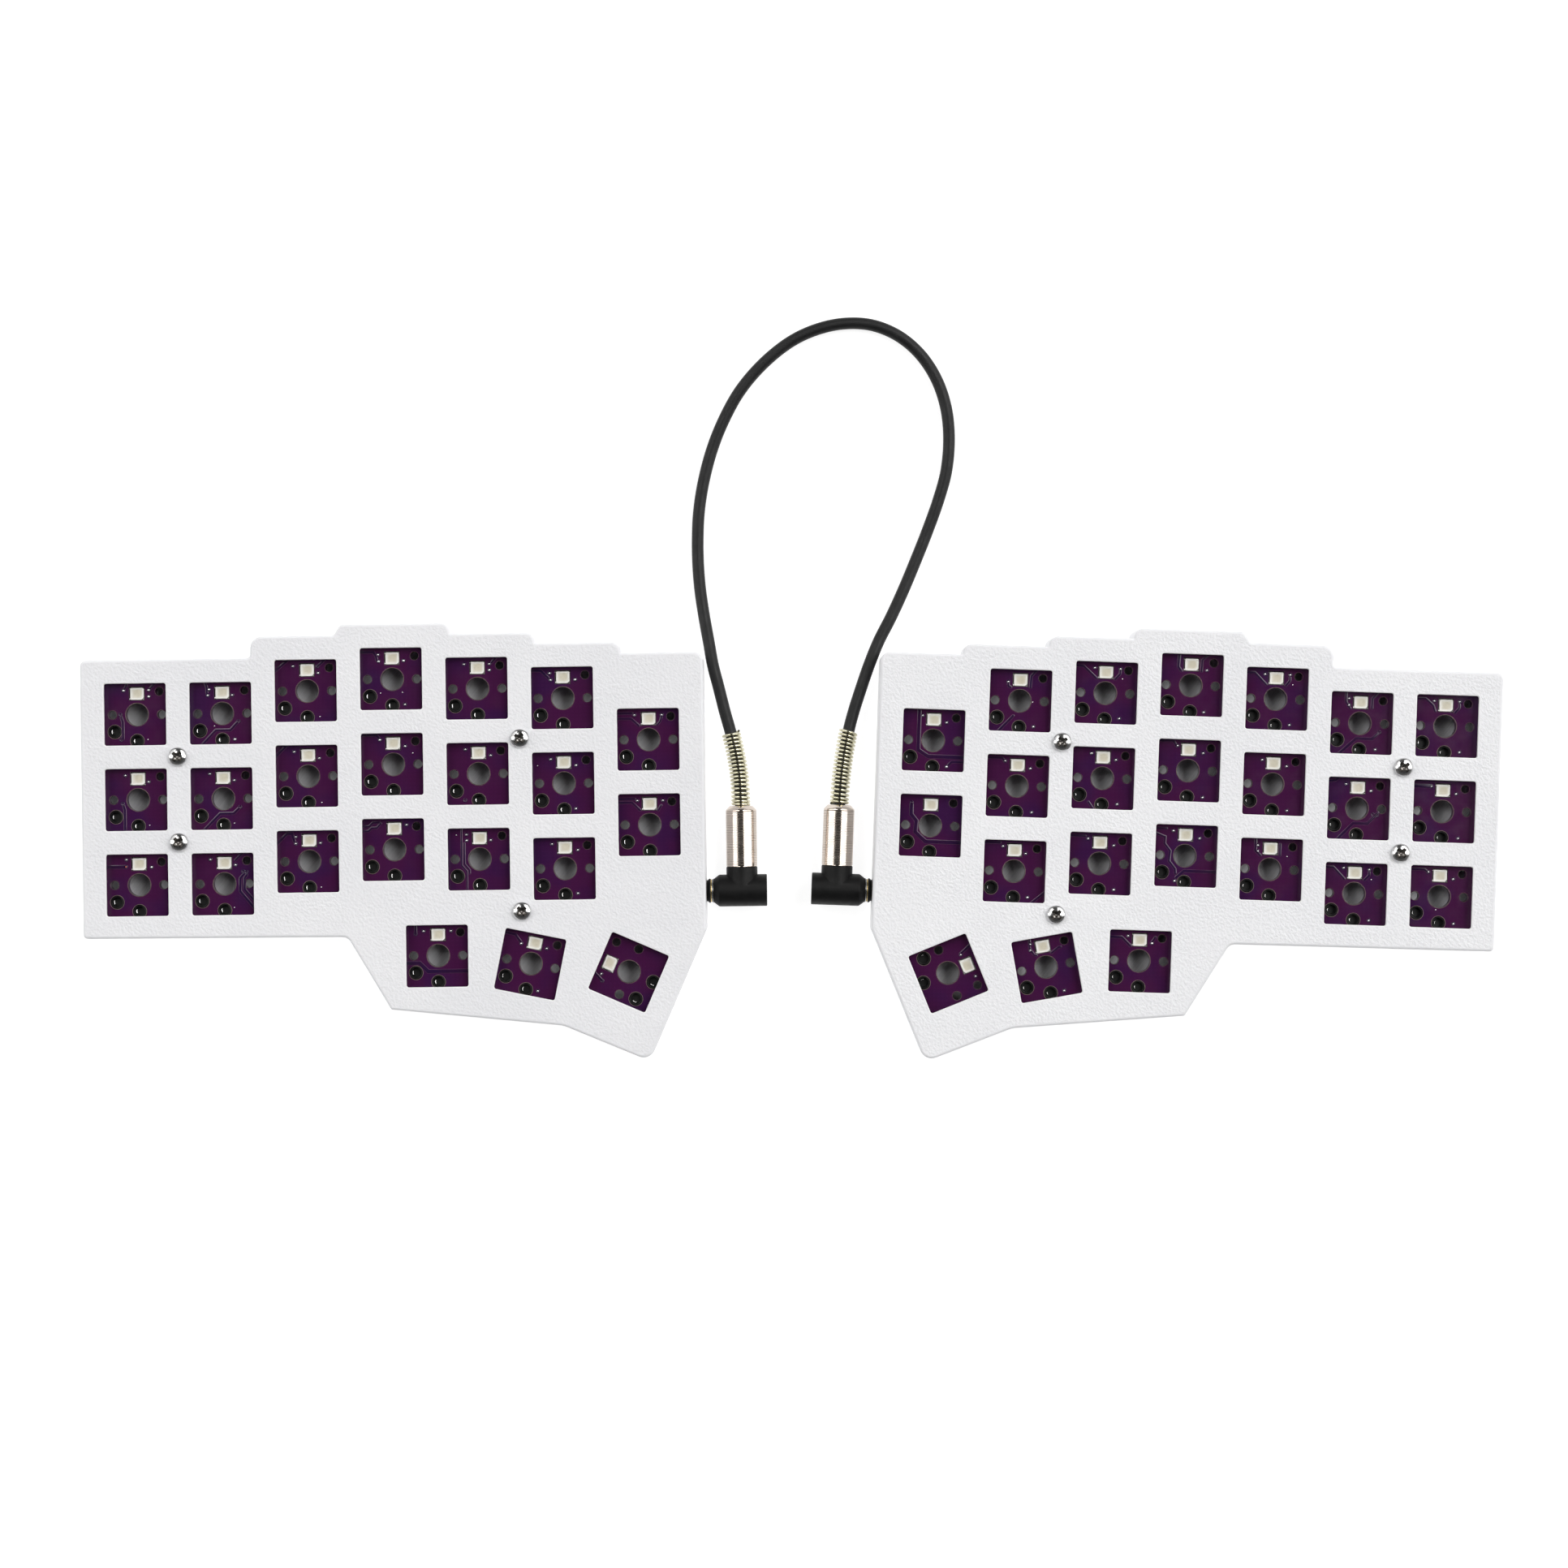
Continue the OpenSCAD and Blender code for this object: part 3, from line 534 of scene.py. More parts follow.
# ------------------------------------------------------------------ the white case
def make_case(side):
    b = Build()

    def ring(pts, z):
        return b.add([on_desk(side, (x, y, z)) for x, y in pts])

    steps = 8
    outer = []
    for j in range(4):
        a = math.radians(90 * j / 4)
        outer.append(ring(outline(0.4 * (1 - math.sin(a)), 1), Z_FOOT + 0.4 * (1 - math.cos(a))))
    outer.append(ring(outline(0, 1), Z_FOOT + 0.4))
    for j in range(steps + 1):
        a = math.radians(90 * j / steps)
        outer.append(ring(outline(EDGE_R * (1 - math.cos(a)), 1), Z_TOP - EDGE_R + EDGE_R * math.sin(a)))
    for p, q in zip(outer, outer[1:]):
        b.strip(p, q, 1)
    lip = 0.22
    tops, floors = [outline(EDGE_R, 1)], [outline(2.0, 0.2)]
    for key in KEYS:
        walls = []
        for j in range(5):
            a = math.radians(90 * j / 4)
            walls.append((lip * (1 - math.sin(a)), Z_TOP - lip * (1 - math.cos(a))))
        walls += [(0, Z_TOP - 0.55), (0.5, Z_PLATE)]
        loops = [(at_key(key, soft_square(6.9 + d, 0.5 + d)), z) for d, z in walls]
        rings = [ring(p, z) for p, z in loops]
        # the rounded lip takes the brighter plastic with its painted highlight; the wall and flare below take the
        # smooth plastic
        for j, (p, q) in enumerate(zip(rings, rings[1:])):
            b.strip(p, q, 2 if j < 4 else 1)
        tops.append(loops[0][0])
        floors.append(loops[-1][0])
    for c in SCREWS:
        levels = [(1.3, Z_TOP), (1.15, Z_TOP - 0.15), (1.15, Z_BOARD_TOP), (2.25, Z_BOARD_TOP), (2.4, Z_BOARD_TOP + 0.15), (2.4, Z_PLATE)]
        rings = [ring(circle(c, r), z) for r, z in levels]
        for p, q in zip(rings, rings[1:]):
            b.strip(p, q, 1)
        tops.append(circle(c, 1.3))
        floors.append(circle(c, 2.4))
    for loops, z, m in ((tops, Z_TOP, 0), (floors, Z_PLATE, 1)):
        pts, tris = fill(loops)
        ids = ring(pts, z)
        for t in tris:
            b.face([ids[i] for i in t], m)
    inner = [ring(outline(2.0, 0.2), z) for z in (Z_PLATE, Z_FOOT)]
    b.strip(inner[0], inner[1], 1)
    b.strip(inner[1], outer[0], 1)
    slots = ["case_" + side, "case_rim", "case_lip_painted_highlight"]
    o = b.done(side + "_case_shell", slots, weighted=False)
    o.modifiers.clear()
    # round hole for the link plug and slot for the host port, both with a broken edge
    cut = Build()
    cut.lathe([(0, -4), (2.7, -4), (2.7, -0.3), (3.0, 0.0), (3.0, 2), (0, 2)],
              lambda x, y, z: on_desk(side, (WALL_X + z, JACK_Y + x, JACK_Z + y)), 48, [1] * 5)
    hole = cut.done("jack_hole_cut", slots, weighted=False)
    boolean(o, hole, "DIFFERENCE")
    cut = Build()

    def slot_ring(grow, y):
        w, h = 9.6 / 2 + grow, 3.9 / 2 + grow
        pts = []
        for s, a0 in ((1, -90), (-1, 90)):
            for j in range(17):
                a = math.radians(a0 + 180 * j / 16)
                pts.append((s * (w - h) + h * math.cos(a), h * math.sin(a)))
        return [on_desk(side, (USB_X + x, y, USB_Z + z)) for x, z in pts]

    cut.loft([slot_ring(0, 9), slot_ring(0, 11.9), slot_ring(0.3, 12.2), slot_ring(0.3, 14)], 1)
    hole = cut.done("port_slot_cut", slots, weighted=False)
    boolean(o, hole, "DIFFERENCE")
    smooth(o)
    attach(o, side + "_half")
    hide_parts(side + "_top_case")
    return o


# ------------------------------------------------------------------ board features, read per switch site
# vias: x, y, kind (b bright, n usual, f covered, s small dot, c copper); tracks: width, points
FEATURES = {
    "left": {
        "c0r0": ([(-2.96, 5.4, "b"), (2.67, 5.46, "b"), (2.67, 4.0, "b"), (-3.75, 0, "f"), (-3.6, -5.6, "f"), (2.4, -5.6, "s")],
                 [(.55, [(-3.6, -.5), (-3.2, -1.6), (-3.2, -5.4)]), (.5, [(-2.96, 5.4), (-2.3, 6.6), (-2.3, 7.2)]), (.5, [(2.67, 5.46), (3.6, 6.6), (4.2, 7.2)])]),
        "c0r1": ([(-2.8, 5.46, "n"), (2.4, 4, "n"), (-3.46, -.9, "f"), (2.5, -5.7, "s")], [(.55, [(-3.3, -1.3), (-3, -2.2), (-3, -7.2)])]),
        "c0r2": ([(-2.83, 5.7, "n"), (-2.96, 4.1, "c"), (2.8, 3.96, "b")], [(.8, [(-7.2, 4.1), (-3.2, 4.1)])]),
        "c1r0": ([(-2.9, 5.4, "b"), (-3.2, 4.1, "n"), (2.3, 4.1, "n"), (3.6, -1.8, "f"), (2.75, -5.8, "b"), (-1.75, -2.75, "s")],
                 [(.6, [(3.25, -2.1), (1.8, -3.7), (-1.5, -3.7), (-4.9, -7.3)]), (.5, [(-3.9, 7.2), (-3.4, 5.9), (-3.4, 4.6)])]),
        "c1r1": ([(-2.96, 5.6, "n"), (2.5, 4.1, "n"), (3.7, -1.9, "f"), (2.4, -5.5, "s")], [(.6, [(3.4, -2.2), (2.25, -3.3), (-.75, -3.3), (-4.6, -7.2)])]),
        "c1r2": ([(-3.1, 5.5, "n"), (2.5, 4.2, "n"), (4.2, 2.7, "f"), (4.9, 2.6, "f"), (2.1, -5.3, "s")],
                 [(.55, [(4.4, 2.2), (3.5, 1.2), (3.5, -1.7), (7.2, -6.2)]), (.5, [(2.5, 5.3), (3.6, 6.4), (4.4, 7.2)]), (.5, [(5.0, 2.0), (4.5, 1.3), (4.5, -1.3), (7.2, -4.5)])]),
        "c2r0": ([(-3.1, 5.6, "n"), (2.5, 4, "n"), (2.8, -5.75, "s"), (2.4, 5.5, "f")], [(.6, [(-7.2, 4.5), (-4.0, 7.2)]), (.5, [(2.4, 5.5), (3.3, 6.3), (4.2, 7.2)])]),
        "c2r1": ([(-3.1, 5.5, "n"), (2.5, 4, "n"), (2.96, -5.9, "s")], [(.6, [(-7.2, 4.5), (-4.5, 7.2)])]),
        "c2r2": ([(-3, 5.5, "n"), (-3, 4, "n"), (2.5, 4.1, "n"), (2.6, -5.8, "s")], [(.6, [(-7.2, 4.0), (-4.9, 6.3), (-3.8, 6.2), (-3.3, 4.5)])]),
        "c3r0": ([(-3.1, 5.5, "n"), (-3, 4, "b"), (2.6, 4.1, "b"), (-2.6, -3.1, "s"), (2.25, -3, "s"), (2.8, -5.7, "n")], [(.55, [(-7.2, 6.1), (-4.1, 6.1), (-3.5, 5.1), (-3.4, 4.3)])]),
        "c3r1": ([(-2.96, 5.5, "b"), (2.7, 4.04, "n"), (4.4, 2.5, "s")], [(.55, [(-7.2, 6.6), (-3.8, 6.6), (-3.2, 6)])]),
        "c3r2": ([(2.75, 5.5, "n")], [(.5, [(-7.2, 5.25), (-5.6, 5.25), (-4.75, 6.1), (-3.3, 6.1)]), (.5, [(-7.2, 4.2), (-5.8, 4.2), (-5, 4.9), (-3.9, 4.9), (-3, 5.9)])]),
        "c4r0": ([(-2.96, 5.5, "n"), (2.7, 5.5, "n"), (2.7, 4.1, "b")], [(.5, [(3.2, 5.8), (4.4, 7.2)])]),
        "c4r1": ([(-2.9, 5.5, "n"), (2.75, 4.1, "n"), (-3.1, -5.9, "f")], []),
        "c4r2": ([(-2.9, 5.5, "n"), (-2.9, 4.2, "n"), (2.5, 4.2, "n"), (-5.2, 5.4, "s")],
                 [(.35, [(-4.05, 7.2), (-4.05, -1.4), (-2.9, -2.7), (-2.9, -7.2)]), (.35, [(-3.4, 3.6), (-3.4, -1.1), (-2.3, -2.4), (-2.3, -3.2)])]),
        "c5r0": ([(-2.9, 5.6, "n"), (-2.7, 4.1, "n"), (2.8, 4.1, "b")], [(.55, [(-7.2, 6.2), (-4.9, 6.2), (-3.2, 4.6)])]),
        "c5r1": ([(-2.9, 5.4, "n"), (2.75, 4, "n"), (2.6, -5.7, "n"), (-5.9, 4, "s")], []),
        "c5r2": ([(-2.9, 5.5, "n"), (2.9, 4.1, "n"), (2.8, -5.6, "n")], []),
        "c6r0": ([(-3.1, 5.5, "n"), (3, 5.5, "n")], [(.5, [(-7.2, 5.9), (-3.6, 5.9)]), (.5, [(-7.2, 4.7), (-3.9, 4.7), (-2.1, 3.1)]), (.45, [(3, 5.2), (2.6, 4), (2.0, 3.3)])]),
        "c6r1": ([(-2.7, 5.4, "n"), (3, 5.4, "n")], [(.5, [(-7.2, 5.8), (-3.3, 5.8)]), (.5, [(-7.2, 5), (-3.9, 5), (-2.1, 3.3)]), (.45, [(2.6, 4.3), (1.9, 3.2)])]),
        "thumb_outer": ([(-3.2, 5.5, "n"), (2.9, 5.5, "n"), (-5.0, 4.9, "f")], [(.55, [(-5, 7.2), (-5, 4.9)]), (.8, [(-7.2, -1.6), (-4.2, -1.6), (-2.3, -3.5), (7.2, -3.5)])]),
        "thumb_middle": ([(-3, 4, "n"), (2.8, 4, "n"), (2.7, -5.7, "n")], [(.55, [(-7.2, 5.8), (-4.7, 5.8), (-3.25, 4.4)])]),
        "thumb_inner": ([(-2.9, 5.5, "n"), (-4.2, 4.7, "f")], [(.55, [(-3.1, 7.2), (-4.2, 4.7)])]),
    },
    "right": {
        "c0r0": ([(-2.6, 5.6, "n"), (3.1, 5.6, "n"), (3.4, -5.7, "n")], [(.55, [(-7.2, 6.1), (-4.5, 6.1), (-2.8, 4.6), (-2.3, 3.3)]), (.5, [(3.1, 5), (3.1, 4.2), (2.1, 3.1)])]),
        "c0r1": ([(-2.6, 5.5, "n"), (3, 4, "n"), (3.75, -5.9, "n")], [(.9, [(-7.2, 5.6), (-2.7, 5.6)])]),
        "c0r2": ([(-2.6, 5.4, "n"), (3, 4, "n"), (-.7, -3, "s"), (3.4, -6, "n")], [(.55, [(-7.2, 6), (-3.5, 6), (-2.6, 5.4)])]),
        "c1r0": ([(-2.6, 5.5, "n"), (-2.6, 4, "n"), (4.4, -1.9, "f"), (3.6, -5.75, "n")],
                 [(.6, [(4, -2.25), (2.8, -3.4), (-.75, -3.4), (-4.8, -7.2)]), (.5, [(-3.25, 7.2), (-3.25, 4.75), (-2.3, 3.3)]), (.5, [(2.6, 3.5), (2.6, 5.6), (4.2, 7.2)])]),
        "c1r1": ([(-2.6, 5.4, "n"), (3, 4, "b"), (3.6, -1.25, "f"), (4.5, -1.4, "f")],
                 [(.6, [(4.7, -.8), (2.4, -3.3), (-.75, -3.3), (-4.4, -7.2)]), (.5, [(-7.2, 5.9), (-4.9, 6.2), (-3.9, 7.2)])]),
        "c1r2": ([(-2.5, 5.7, "n"), (3.25, 5.5, "n"), (3.75, 3.25, "s"), (3.5, -5.9, "n")], [(.55, [(-7.2, 5.8), (-4.8, 5.8), (-2.3, 3.25)]), (.5, [(3.25, 5), (3.25, 4.2), (2.2, 3.1)])]),
        "c2r0": ([(-2.5, 5.5, "n"), (3.1, 5.5, "n"), (3.75, 3.3, "s"), (3.3, -5.7, "n")], [(.55, [(-7.2, 5.8), (-4.8, 5.8), (-2.2, 3.2)]), (.5, [(3.1, 5), (3.1, 4.2), (2.2, 3.1)])]),
        "c2r1": ([(-2.5, 5.4, "n"), (3, 4.1, "n"), (3.4, -5.8, "n")], []),
        "c2r2": ([(-2.8, 5.3, "n"), (-2.8, 4, "n"), (3.8, 3, "s")], [(.55, [(-3.3, 7.2), (-3.3, 4.1), (-2.2, 3.1)]), (.45, [(2.2, 5.75), (2.2, 3.2)])]),
        "c3r0": ([(3.5, 3.5, "n"), (3.1, -5.9, "n")], [(.55, [(-2.7, 7.2), (-2.9, 4.1), (-2.2, 3.2)]), (.5, [(2.3, 3.25), (2.4, 5.75), (3.9, 7.2)])]),
        "c3r1": ([(-2.5, 5.5, "n"), (3.3, 4, "n"), (3.5, -5.9, "n")], [(.55, [(-7.2, 6.6), (-3.4, 6.6), (-2.75, 5.5)])]),
        "c3r2": ([(-2.75, 5.5, "b"), (3.2, 4, "n"), (-2.1, -5.7, "n")],
                 [(.5, [(-7.2, 6), (-4.3, 6)]), (.5, [(-7.2, 5.1), (-4.5, 4.1), (-4.6, 2.6), (-3.3, 1), (-3.5, -1.3), (-2.1, -3), (-2, -4)]), (.6, [(7.2, -3.4), (-.1, -3.4), (-1.8, -4.9)])]),
        "c4r0": ([(-2.5, 5.6, "n"), (3.25, 5.5, "n"), (3.75, 3.3, "s"), (3.3, -5.6, "n")], [(.55, [(-7.2, 6), (-5.1, 6), (-2.1, 3.3)]), (.5, [(3.2, 5.2), (3.2, 4.4), (2.1, 3.2)])]),
        "c4r1": ([(-2.6, 5.5, "b"), (2.9, 4.2, "n"), (3.5, -5.7, "n")], [(.5, [(-2.9, -5.4), (-1.6, -7.2)])]),
        "c4r2": ([(-2.7, 5.5, "n"), (3.1, 4.1, "n"), (3.4, -5.8, "b")], [(.55, [(-7.2, 6.1), (-3.4, 6.1)])]),
        "c5r0": ([(-2.7, 4.2, "n"), (2.9, -.2, "s"), (3.25, -5.7, "n")],
                 [(.5, [(-2.7, 3.9), (-2.6, 3.2), (-2.1, 3.0)]), (.5, [(2.3, 3.1), (2.4, 5.6), (3.8, 7.2)]), (.55, [(-4.9, -7.2), (-1.35, -3.4)])]),
        "c5r1": ([(-2.8, 5.5, "n"), (2.9, 4, "n"), (3.5, -5.8, "n")], [(.55, [(-7.2, 6.2), (-3.5, 6.2), (-2.9, 5.5)])]),
        "c5r2": ([(-2.6, 5.5, "n"), (2.5, 4, "n"), (3.25, -5.8, "b")], [(.5, [(3.9, -7.2), (7.2, -4.4)]), (.55, [(-7.2, 6.3), (-3.3, 6.3)])]),
        "c6r0": ([(-2.5, 5.5, "n"), (2.9, 4.1, "n"), (3.2, -5.8, "b")], [(.8, [(-3.25, 7.2), (-3.25, -2.2), (-1, -3.6), (7.2, -3.6)]), (.5, [(3.2, -5.8), (4.25, -4.7), (7.2, -4.6)])]),
        "c6r1": ([(-4.3, 5, "f")], [(.8, [(-4.3, 4.7), (-4.3, 2.4), (-3.1, 1), (-3.3, -1.5), (-.9, -3.6), (7.2, -3.6)])]),
        "thumb_outer": ([(-2.6, 5.5, "n"), (2.8, 4, "b")], [(.55, [(-7.2, 5.2), (-4, 5.2), (-2.0, 3.3)]), (.5, [(3.5, 5.4), (2.6, 4)])]),
        "thumb_middle": ([(-2.6, 5.6, "n"), (-2.8, 4.25, "n"), (3.1, -5.9, "n")], [(.45, [(-2.5, 7.2), (-2.9, 4.8), (-2.2, 3.2), (-1.6, 2.9)]), (.45, [(1.7, 2.9), (3.5, 3.9), (4.0, 3.9)])]),
        "thumb_inner": ([(-2.7, 4.2, "n"), (3, 5.5, "n")], [(.55, [(-4.1, 7.2), (-2.9, 4.2)])]),
    },
}


def band_outline(pts, half, caps=5):
    """Outline of a polyline of that half width, with round ends."""
    p = [Vector(q) for q in pts]
    d = [(b - a).normalized() for a, b in zip(p, p[1:])]
    left, right = [], []
    for i, q in enumerate(p):
        if i in (0, len(p) - 1):
            n = d[0 if i == 0 else -1]
            off = Vector((-n.y, n.x)) * half
        else:
            t = (d[i - 1] + d[i]).normalized()
            n = Vector((-t.y, t.x))
            k = n.dot(Vector((-d[i].y, d[i].x)))
            off = n * (half / max(k, 0.35))
        left.append(q + off)
        right.append(q - off)
    end = []
    a0 = math.atan2(d[-1].x, -d[-1].y)
    for j in range(1, caps):
        a = a0 - math.pi * j / caps
        end.append(p[-1] + half * Vector((math.cos(a), math.sin(a))))
    start = []
    a0 = math.atan2(-d[0].x, d[0].y)
    for j in range(1, caps):
        a = a0 - math.pi * j / caps
        start.append(p[0] + half * Vector((math.cos(a), math.sin(a))))
    return [tuple(q) for q in left + end + list(reversed(right)) + start]


def make_board_features(side):
    """Raised tracks, vias and hole rims on the board's face."""
    tracks, vias, rims = Build(), Build(), Build()
    top = Z_BOARD_TOP
    for key in KEYS:
        dots, lines = FEATURES[side][key[3]]

        def put(p, z, k=key):
            return site(side, k, p, z)

        for w, pts in lines:
            levels = [(w / 2 + 0.10, top - 0.02), (w / 2 + 0.08, top + 0.012), (w / 2 - 0.02, top + 0.05), (w / 2 - 0.12, top + 0.062)]
            ids = [tracks.add([put(q, z) for q in band_outline(pts, max(h, 0.04))]) for h, z in levels]
            # the foot and slope of each track take finish 1, the lighter lacquer with the edge highlight painted in;
            # the shoulder and top take finish 0
            for j, (a, b2) in enumerate(zip(ids, ids[1:])):
                tracks.strip(a, b2, 0 if j == 2 else 1)
            tracks.face(ids[0], 1)
            tracks.face(list(reversed(ids[-1])), 0)
        for x, y, kind in dots:
            def place(a, b, c, x=x, y=y, put=put):
                return put((x + a, y + b), top + c)
            if kind != "s":
                vias.lathe([(0, -0.02), (0.50, -0.02), (0.47, 0.03), (0.40, 0.062), (0.33, 0.062), (0.25, 0.02), (0.18, -0.01), (0, -0.012)],
                           place, 20, [0] * 7)
            r, h, m = {"b": (0.25, 0.12, 1), "n": (0.19, 0.085, 1), "f": (0.09, 0.035, 0), "s": (0.13, 0.06, 1), "c": (0.2, 0.08, 2)}[kind]
            dome = [(0, -0.015), (r, -0.015)] + [(r * math.cos(math.radians(a)), h * math.sin(math.radians(a))) for a in (15, 35, 55, 75)] + [(0, h)]
            vias.lathe(dome, place, 16, [m] * (len(dome) - 1))
        holes = [((0, 0), 2.5), ((-5.5, 0), 0.95), ((5.5, 0), 0.95), ((-5, -3.8), 1.5), ((0, -5.9), 1.5), ((5, 5.15), 0.9)]
        for c, r in holes:
            def place(a, b, z, c=c, put=put):
                return put((c[0] + a, c[1] + b), top + z)
            w = 0.15 if r > 1 else 0.11
            prof = [(r + 0.01, -0.25), (r + 0.01, -0.02), (r + 0.05, 0.03), (r + w - 0.05, 0.035), (r + w, -0.01), (r + w, -0.25)]
            n = 48 if r > 2 else 32
            rings = [rims.add([place(q * math.cos(2 * math.pi * k / n), q * math.sin(2 * math.pi * k / n), z) for k in range(n)]) for q, z in prof]
            for a, b2 in zip(rings, rings[1:] + rings[:1]):
                rims.strip(a, b2)
        edges = [([(sx * (1.70 + d), 4.7 + sy * (1.50 + d)) for sx, sy in ((-1, -1), (1, -1), (1, 1), (-1, 1))], z)
                 for d, z in ((0.005, -0.25), (0.005, 0.005), (0.025, 0.022), (0.045, 0.022), (0.065, 0.0), (0.065, -0.25))]
        ids = [rims.add([put(q, top + z) for q in e]) for e, z in edges]
        for a, b2 in zip(ids, ids[1:] + ids[:1]):
            rims.strip(a, b2, 1)
    for b, name, mats in ((tracks, "board_tracks", ["track", "track_edge"]), (vias, "board_vias", ["track", "tin", "copper_dot"]), (rims, "board_hole_rims", ["laminate", "cut_edge"])):
        o = b.done(side + "_" + name, mats, 50, weld=False, weighted=False)
        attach(o, side + "_half")


def make_leds(side):
    """Small light of each site: white cup with a chamfered corner, cream lens, tin legs at the corners."""
    b = Build()
    shape = [(-1.45, -1.40), (1.10, -1.40), (1.58, -0.92), (1.58, 1.30), (-1.45, 1.30)]

    def grown(d, r):
        """The outline moved inwards by d with round corners."""
        n, out = len(shape), []
        for i in range(n):
            p0, p1, p2 = (Vector(shape[(i + k) % n]) for k in (-1, 0, 1))
            e1, e2 = (p1 - p0).normalized(), (p2 - p1).normalized()
            n1, n2 = Vector((-e1.y, e1.x)), Vector((-e2.y, e2.x))
            c = p1 + (n1 + n2) * (d / (1 + n1.dot(n2)))
            t = e1.angle(e2)
            rr = max(r - d, 0.04)
            q = c - e1 * rr * math.tan(t / 2)
            m = q + n1 * rr
            for j in range(4):
                v = q - m
                a = t * j / 3
                out.append((m.x + v.x * math.cos(a) - v.y * math.sin(a), m.y + v.x * math.sin(a) + v.y * math.cos(a)))
        # the straight sides in four steps each, so that the lens can go over to a circle
        full = []
        for i, q in enumerate(out):
            full.append(q)
            if i % 4 == 3:
                nxt = out[(i + 1) % len(out)]
                full += [(q[0] + (nxt[0] - q[0]) * j / 4, q[1] + (nxt[1] - q[1]) * j / 4) for j in (1, 2, 3)]
        return full

    for key in KEYS:
        def put(p, z, k=key):
            return site(side, k, (p[0], p[1] + 4.7), z)
        base, top = Z_BOARD - 0.25, Z_BOARD_TOP + 0.10
        levels = [(0, base), (0, top - 0.10), (0.03, top - 0.03), (0.10, top), (0.24, top), (0.32, top - 0.025)]
        rings = [b.add([put(q, z) for q in grown(d, 0.22)]) for d, z in levels]
        # the lens goes over from the cup's outline to a round dish
        cx, cy = (0.26, 0.12) if side == "left" else (0.19, -0.08)
        for s, w, z in ((0.93, 0.15, 0.035), (0.85, 0.60, 0.042), (0.80, 1.0, 0.046), (0.53, 1.0, 0.050), (0.25, 1.0, 0.052)):
            ring = []
            for q in grown(0.32, 0.22):
                far = math.hypot(q[0] - cx, q[1] - cy)
                near = s * ((1 - w) * far + w * 0.92) / far
                ring.append(put((cx + near * (q[0] - cx), cy + near * (q[1] - cy)), top - z))
            rings.append(b.add(ring))
        for p, q in zip(rings, rings[1:]):
            b.strip(p, q, 0)
        mid = b.add([put((cx, cy), top - 0.053)])
        b.fan(rings[-1], mid[0], 0)
        low = b.add([put((0.05, -0.05), base)])
        b.fan(list(reversed(rings[0])), low[0], 0)
        for ids, value in zip(rings, (0, 0, 0, 0, 0.06, 0.28, 0.46, 0.68, 0.84, 0.95, 0.99)):
            for i in ids:
                b.mid[i] = value
        b.mid[mid[0]] = 1.0
        # solder at three corners of the cut-out
        for x, y, w, h in ((-1.58, -1.22, 0.09, 0.24), (1.50, -1.30, 0.12, 0.10), (-1.58, 1.10, 0.07, 0.16)):
            prof = []
            for z, g in ((-0.5, 1.0), (-0.03, 1.0), (0.02, 0.8), (0.045, 0.4)):
                prof.append([put((x + g * w * math.cos(2 * math.pi * k / 12), y + g * h * math.sin(2 * math.pi * k / 12)), Z_BOARD_TOP + z) for k in range(12)])
            b.loft(prof, 1)
    o = b.done(side + "_key_lights", ["led", "tin"], 40, weld=False)
    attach(o, side + "_half")
    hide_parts(side + "_key_leds")


def make_sockets(side):
    """Black push-in socket of each site: body under the board, two stepped barrels in the board's holes, curved contact leaves."""
    b, c = Build(), Build()
    body = [(-7, -1.7), (-2.6, -1.7), (-1.2, -3.6), (2.2, -3.6), (2.2, -8.2), (-2.6, -8.2), (-3.9, -6.2), (-7, -6.2)]
    for key in KEYS:
        def put(p, z, k=key):
            return site(side, k, p, z)
        b.loft([[put(p, z) for p in body] for z in (7.0, 8.78)])
        for px, py in ((-5, -3.8), (0, -5.9)):
            def place(x, y, z, px=px, py=py, put=put):
                return put((px + x, py + y), z)
            prof = [(0, 8.7), (1.4, 8.7), (1.4, 10.18), (1.36, 10.26), (1.28, 10.30), (1.20, 10.28), (1.16, 10.20), (1.13, 10.0), (1.10, 9.4), (1.10, 8.8), (0, 8.8)]
            b.lathe(prof, place, 40)
            # contact: a leaf with a rolled top, near the side of the bore
            rings = []
            high, big = (10.0, 1.0) if side == "left" else (9.72, 0.7)
            for y in (-0.42, -0.36, -0.18, 0, 0.18, 0.36, 0.42):
                s = 1 - 0.25 * (y / 0.42) ** 2
                cx = px - 0.66 - 0.10 * (1 - (y / 0.42) ** 2)
                rings.append([put((cx + 0.13 * big * s * math.cos(a), py + y * big), high + 0.10 * s * math.sin(a)) if 0 <= a <= math.pi else
                              put((cx + (0.10 if math.cos(a) > 0 else -0.10) * big, py + y * big), 8.9)
                              for a in [math.pi * j / 8 for j in range(9)] + [1.25 * math.pi, 1.75 * math.pi]])
            c.loft(rings)
    for q, name, mat, node, slot in ((b, "_socket_barrels", "socket", "_switch_sockets", "socket_black"), (c, "_socket_leaves", "tin", "_socket_contacts", "contact_tin")):
        o = q.done(side + name, [mat], 35, weld=False)
        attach(o, side + "_half")
        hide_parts(side + node)


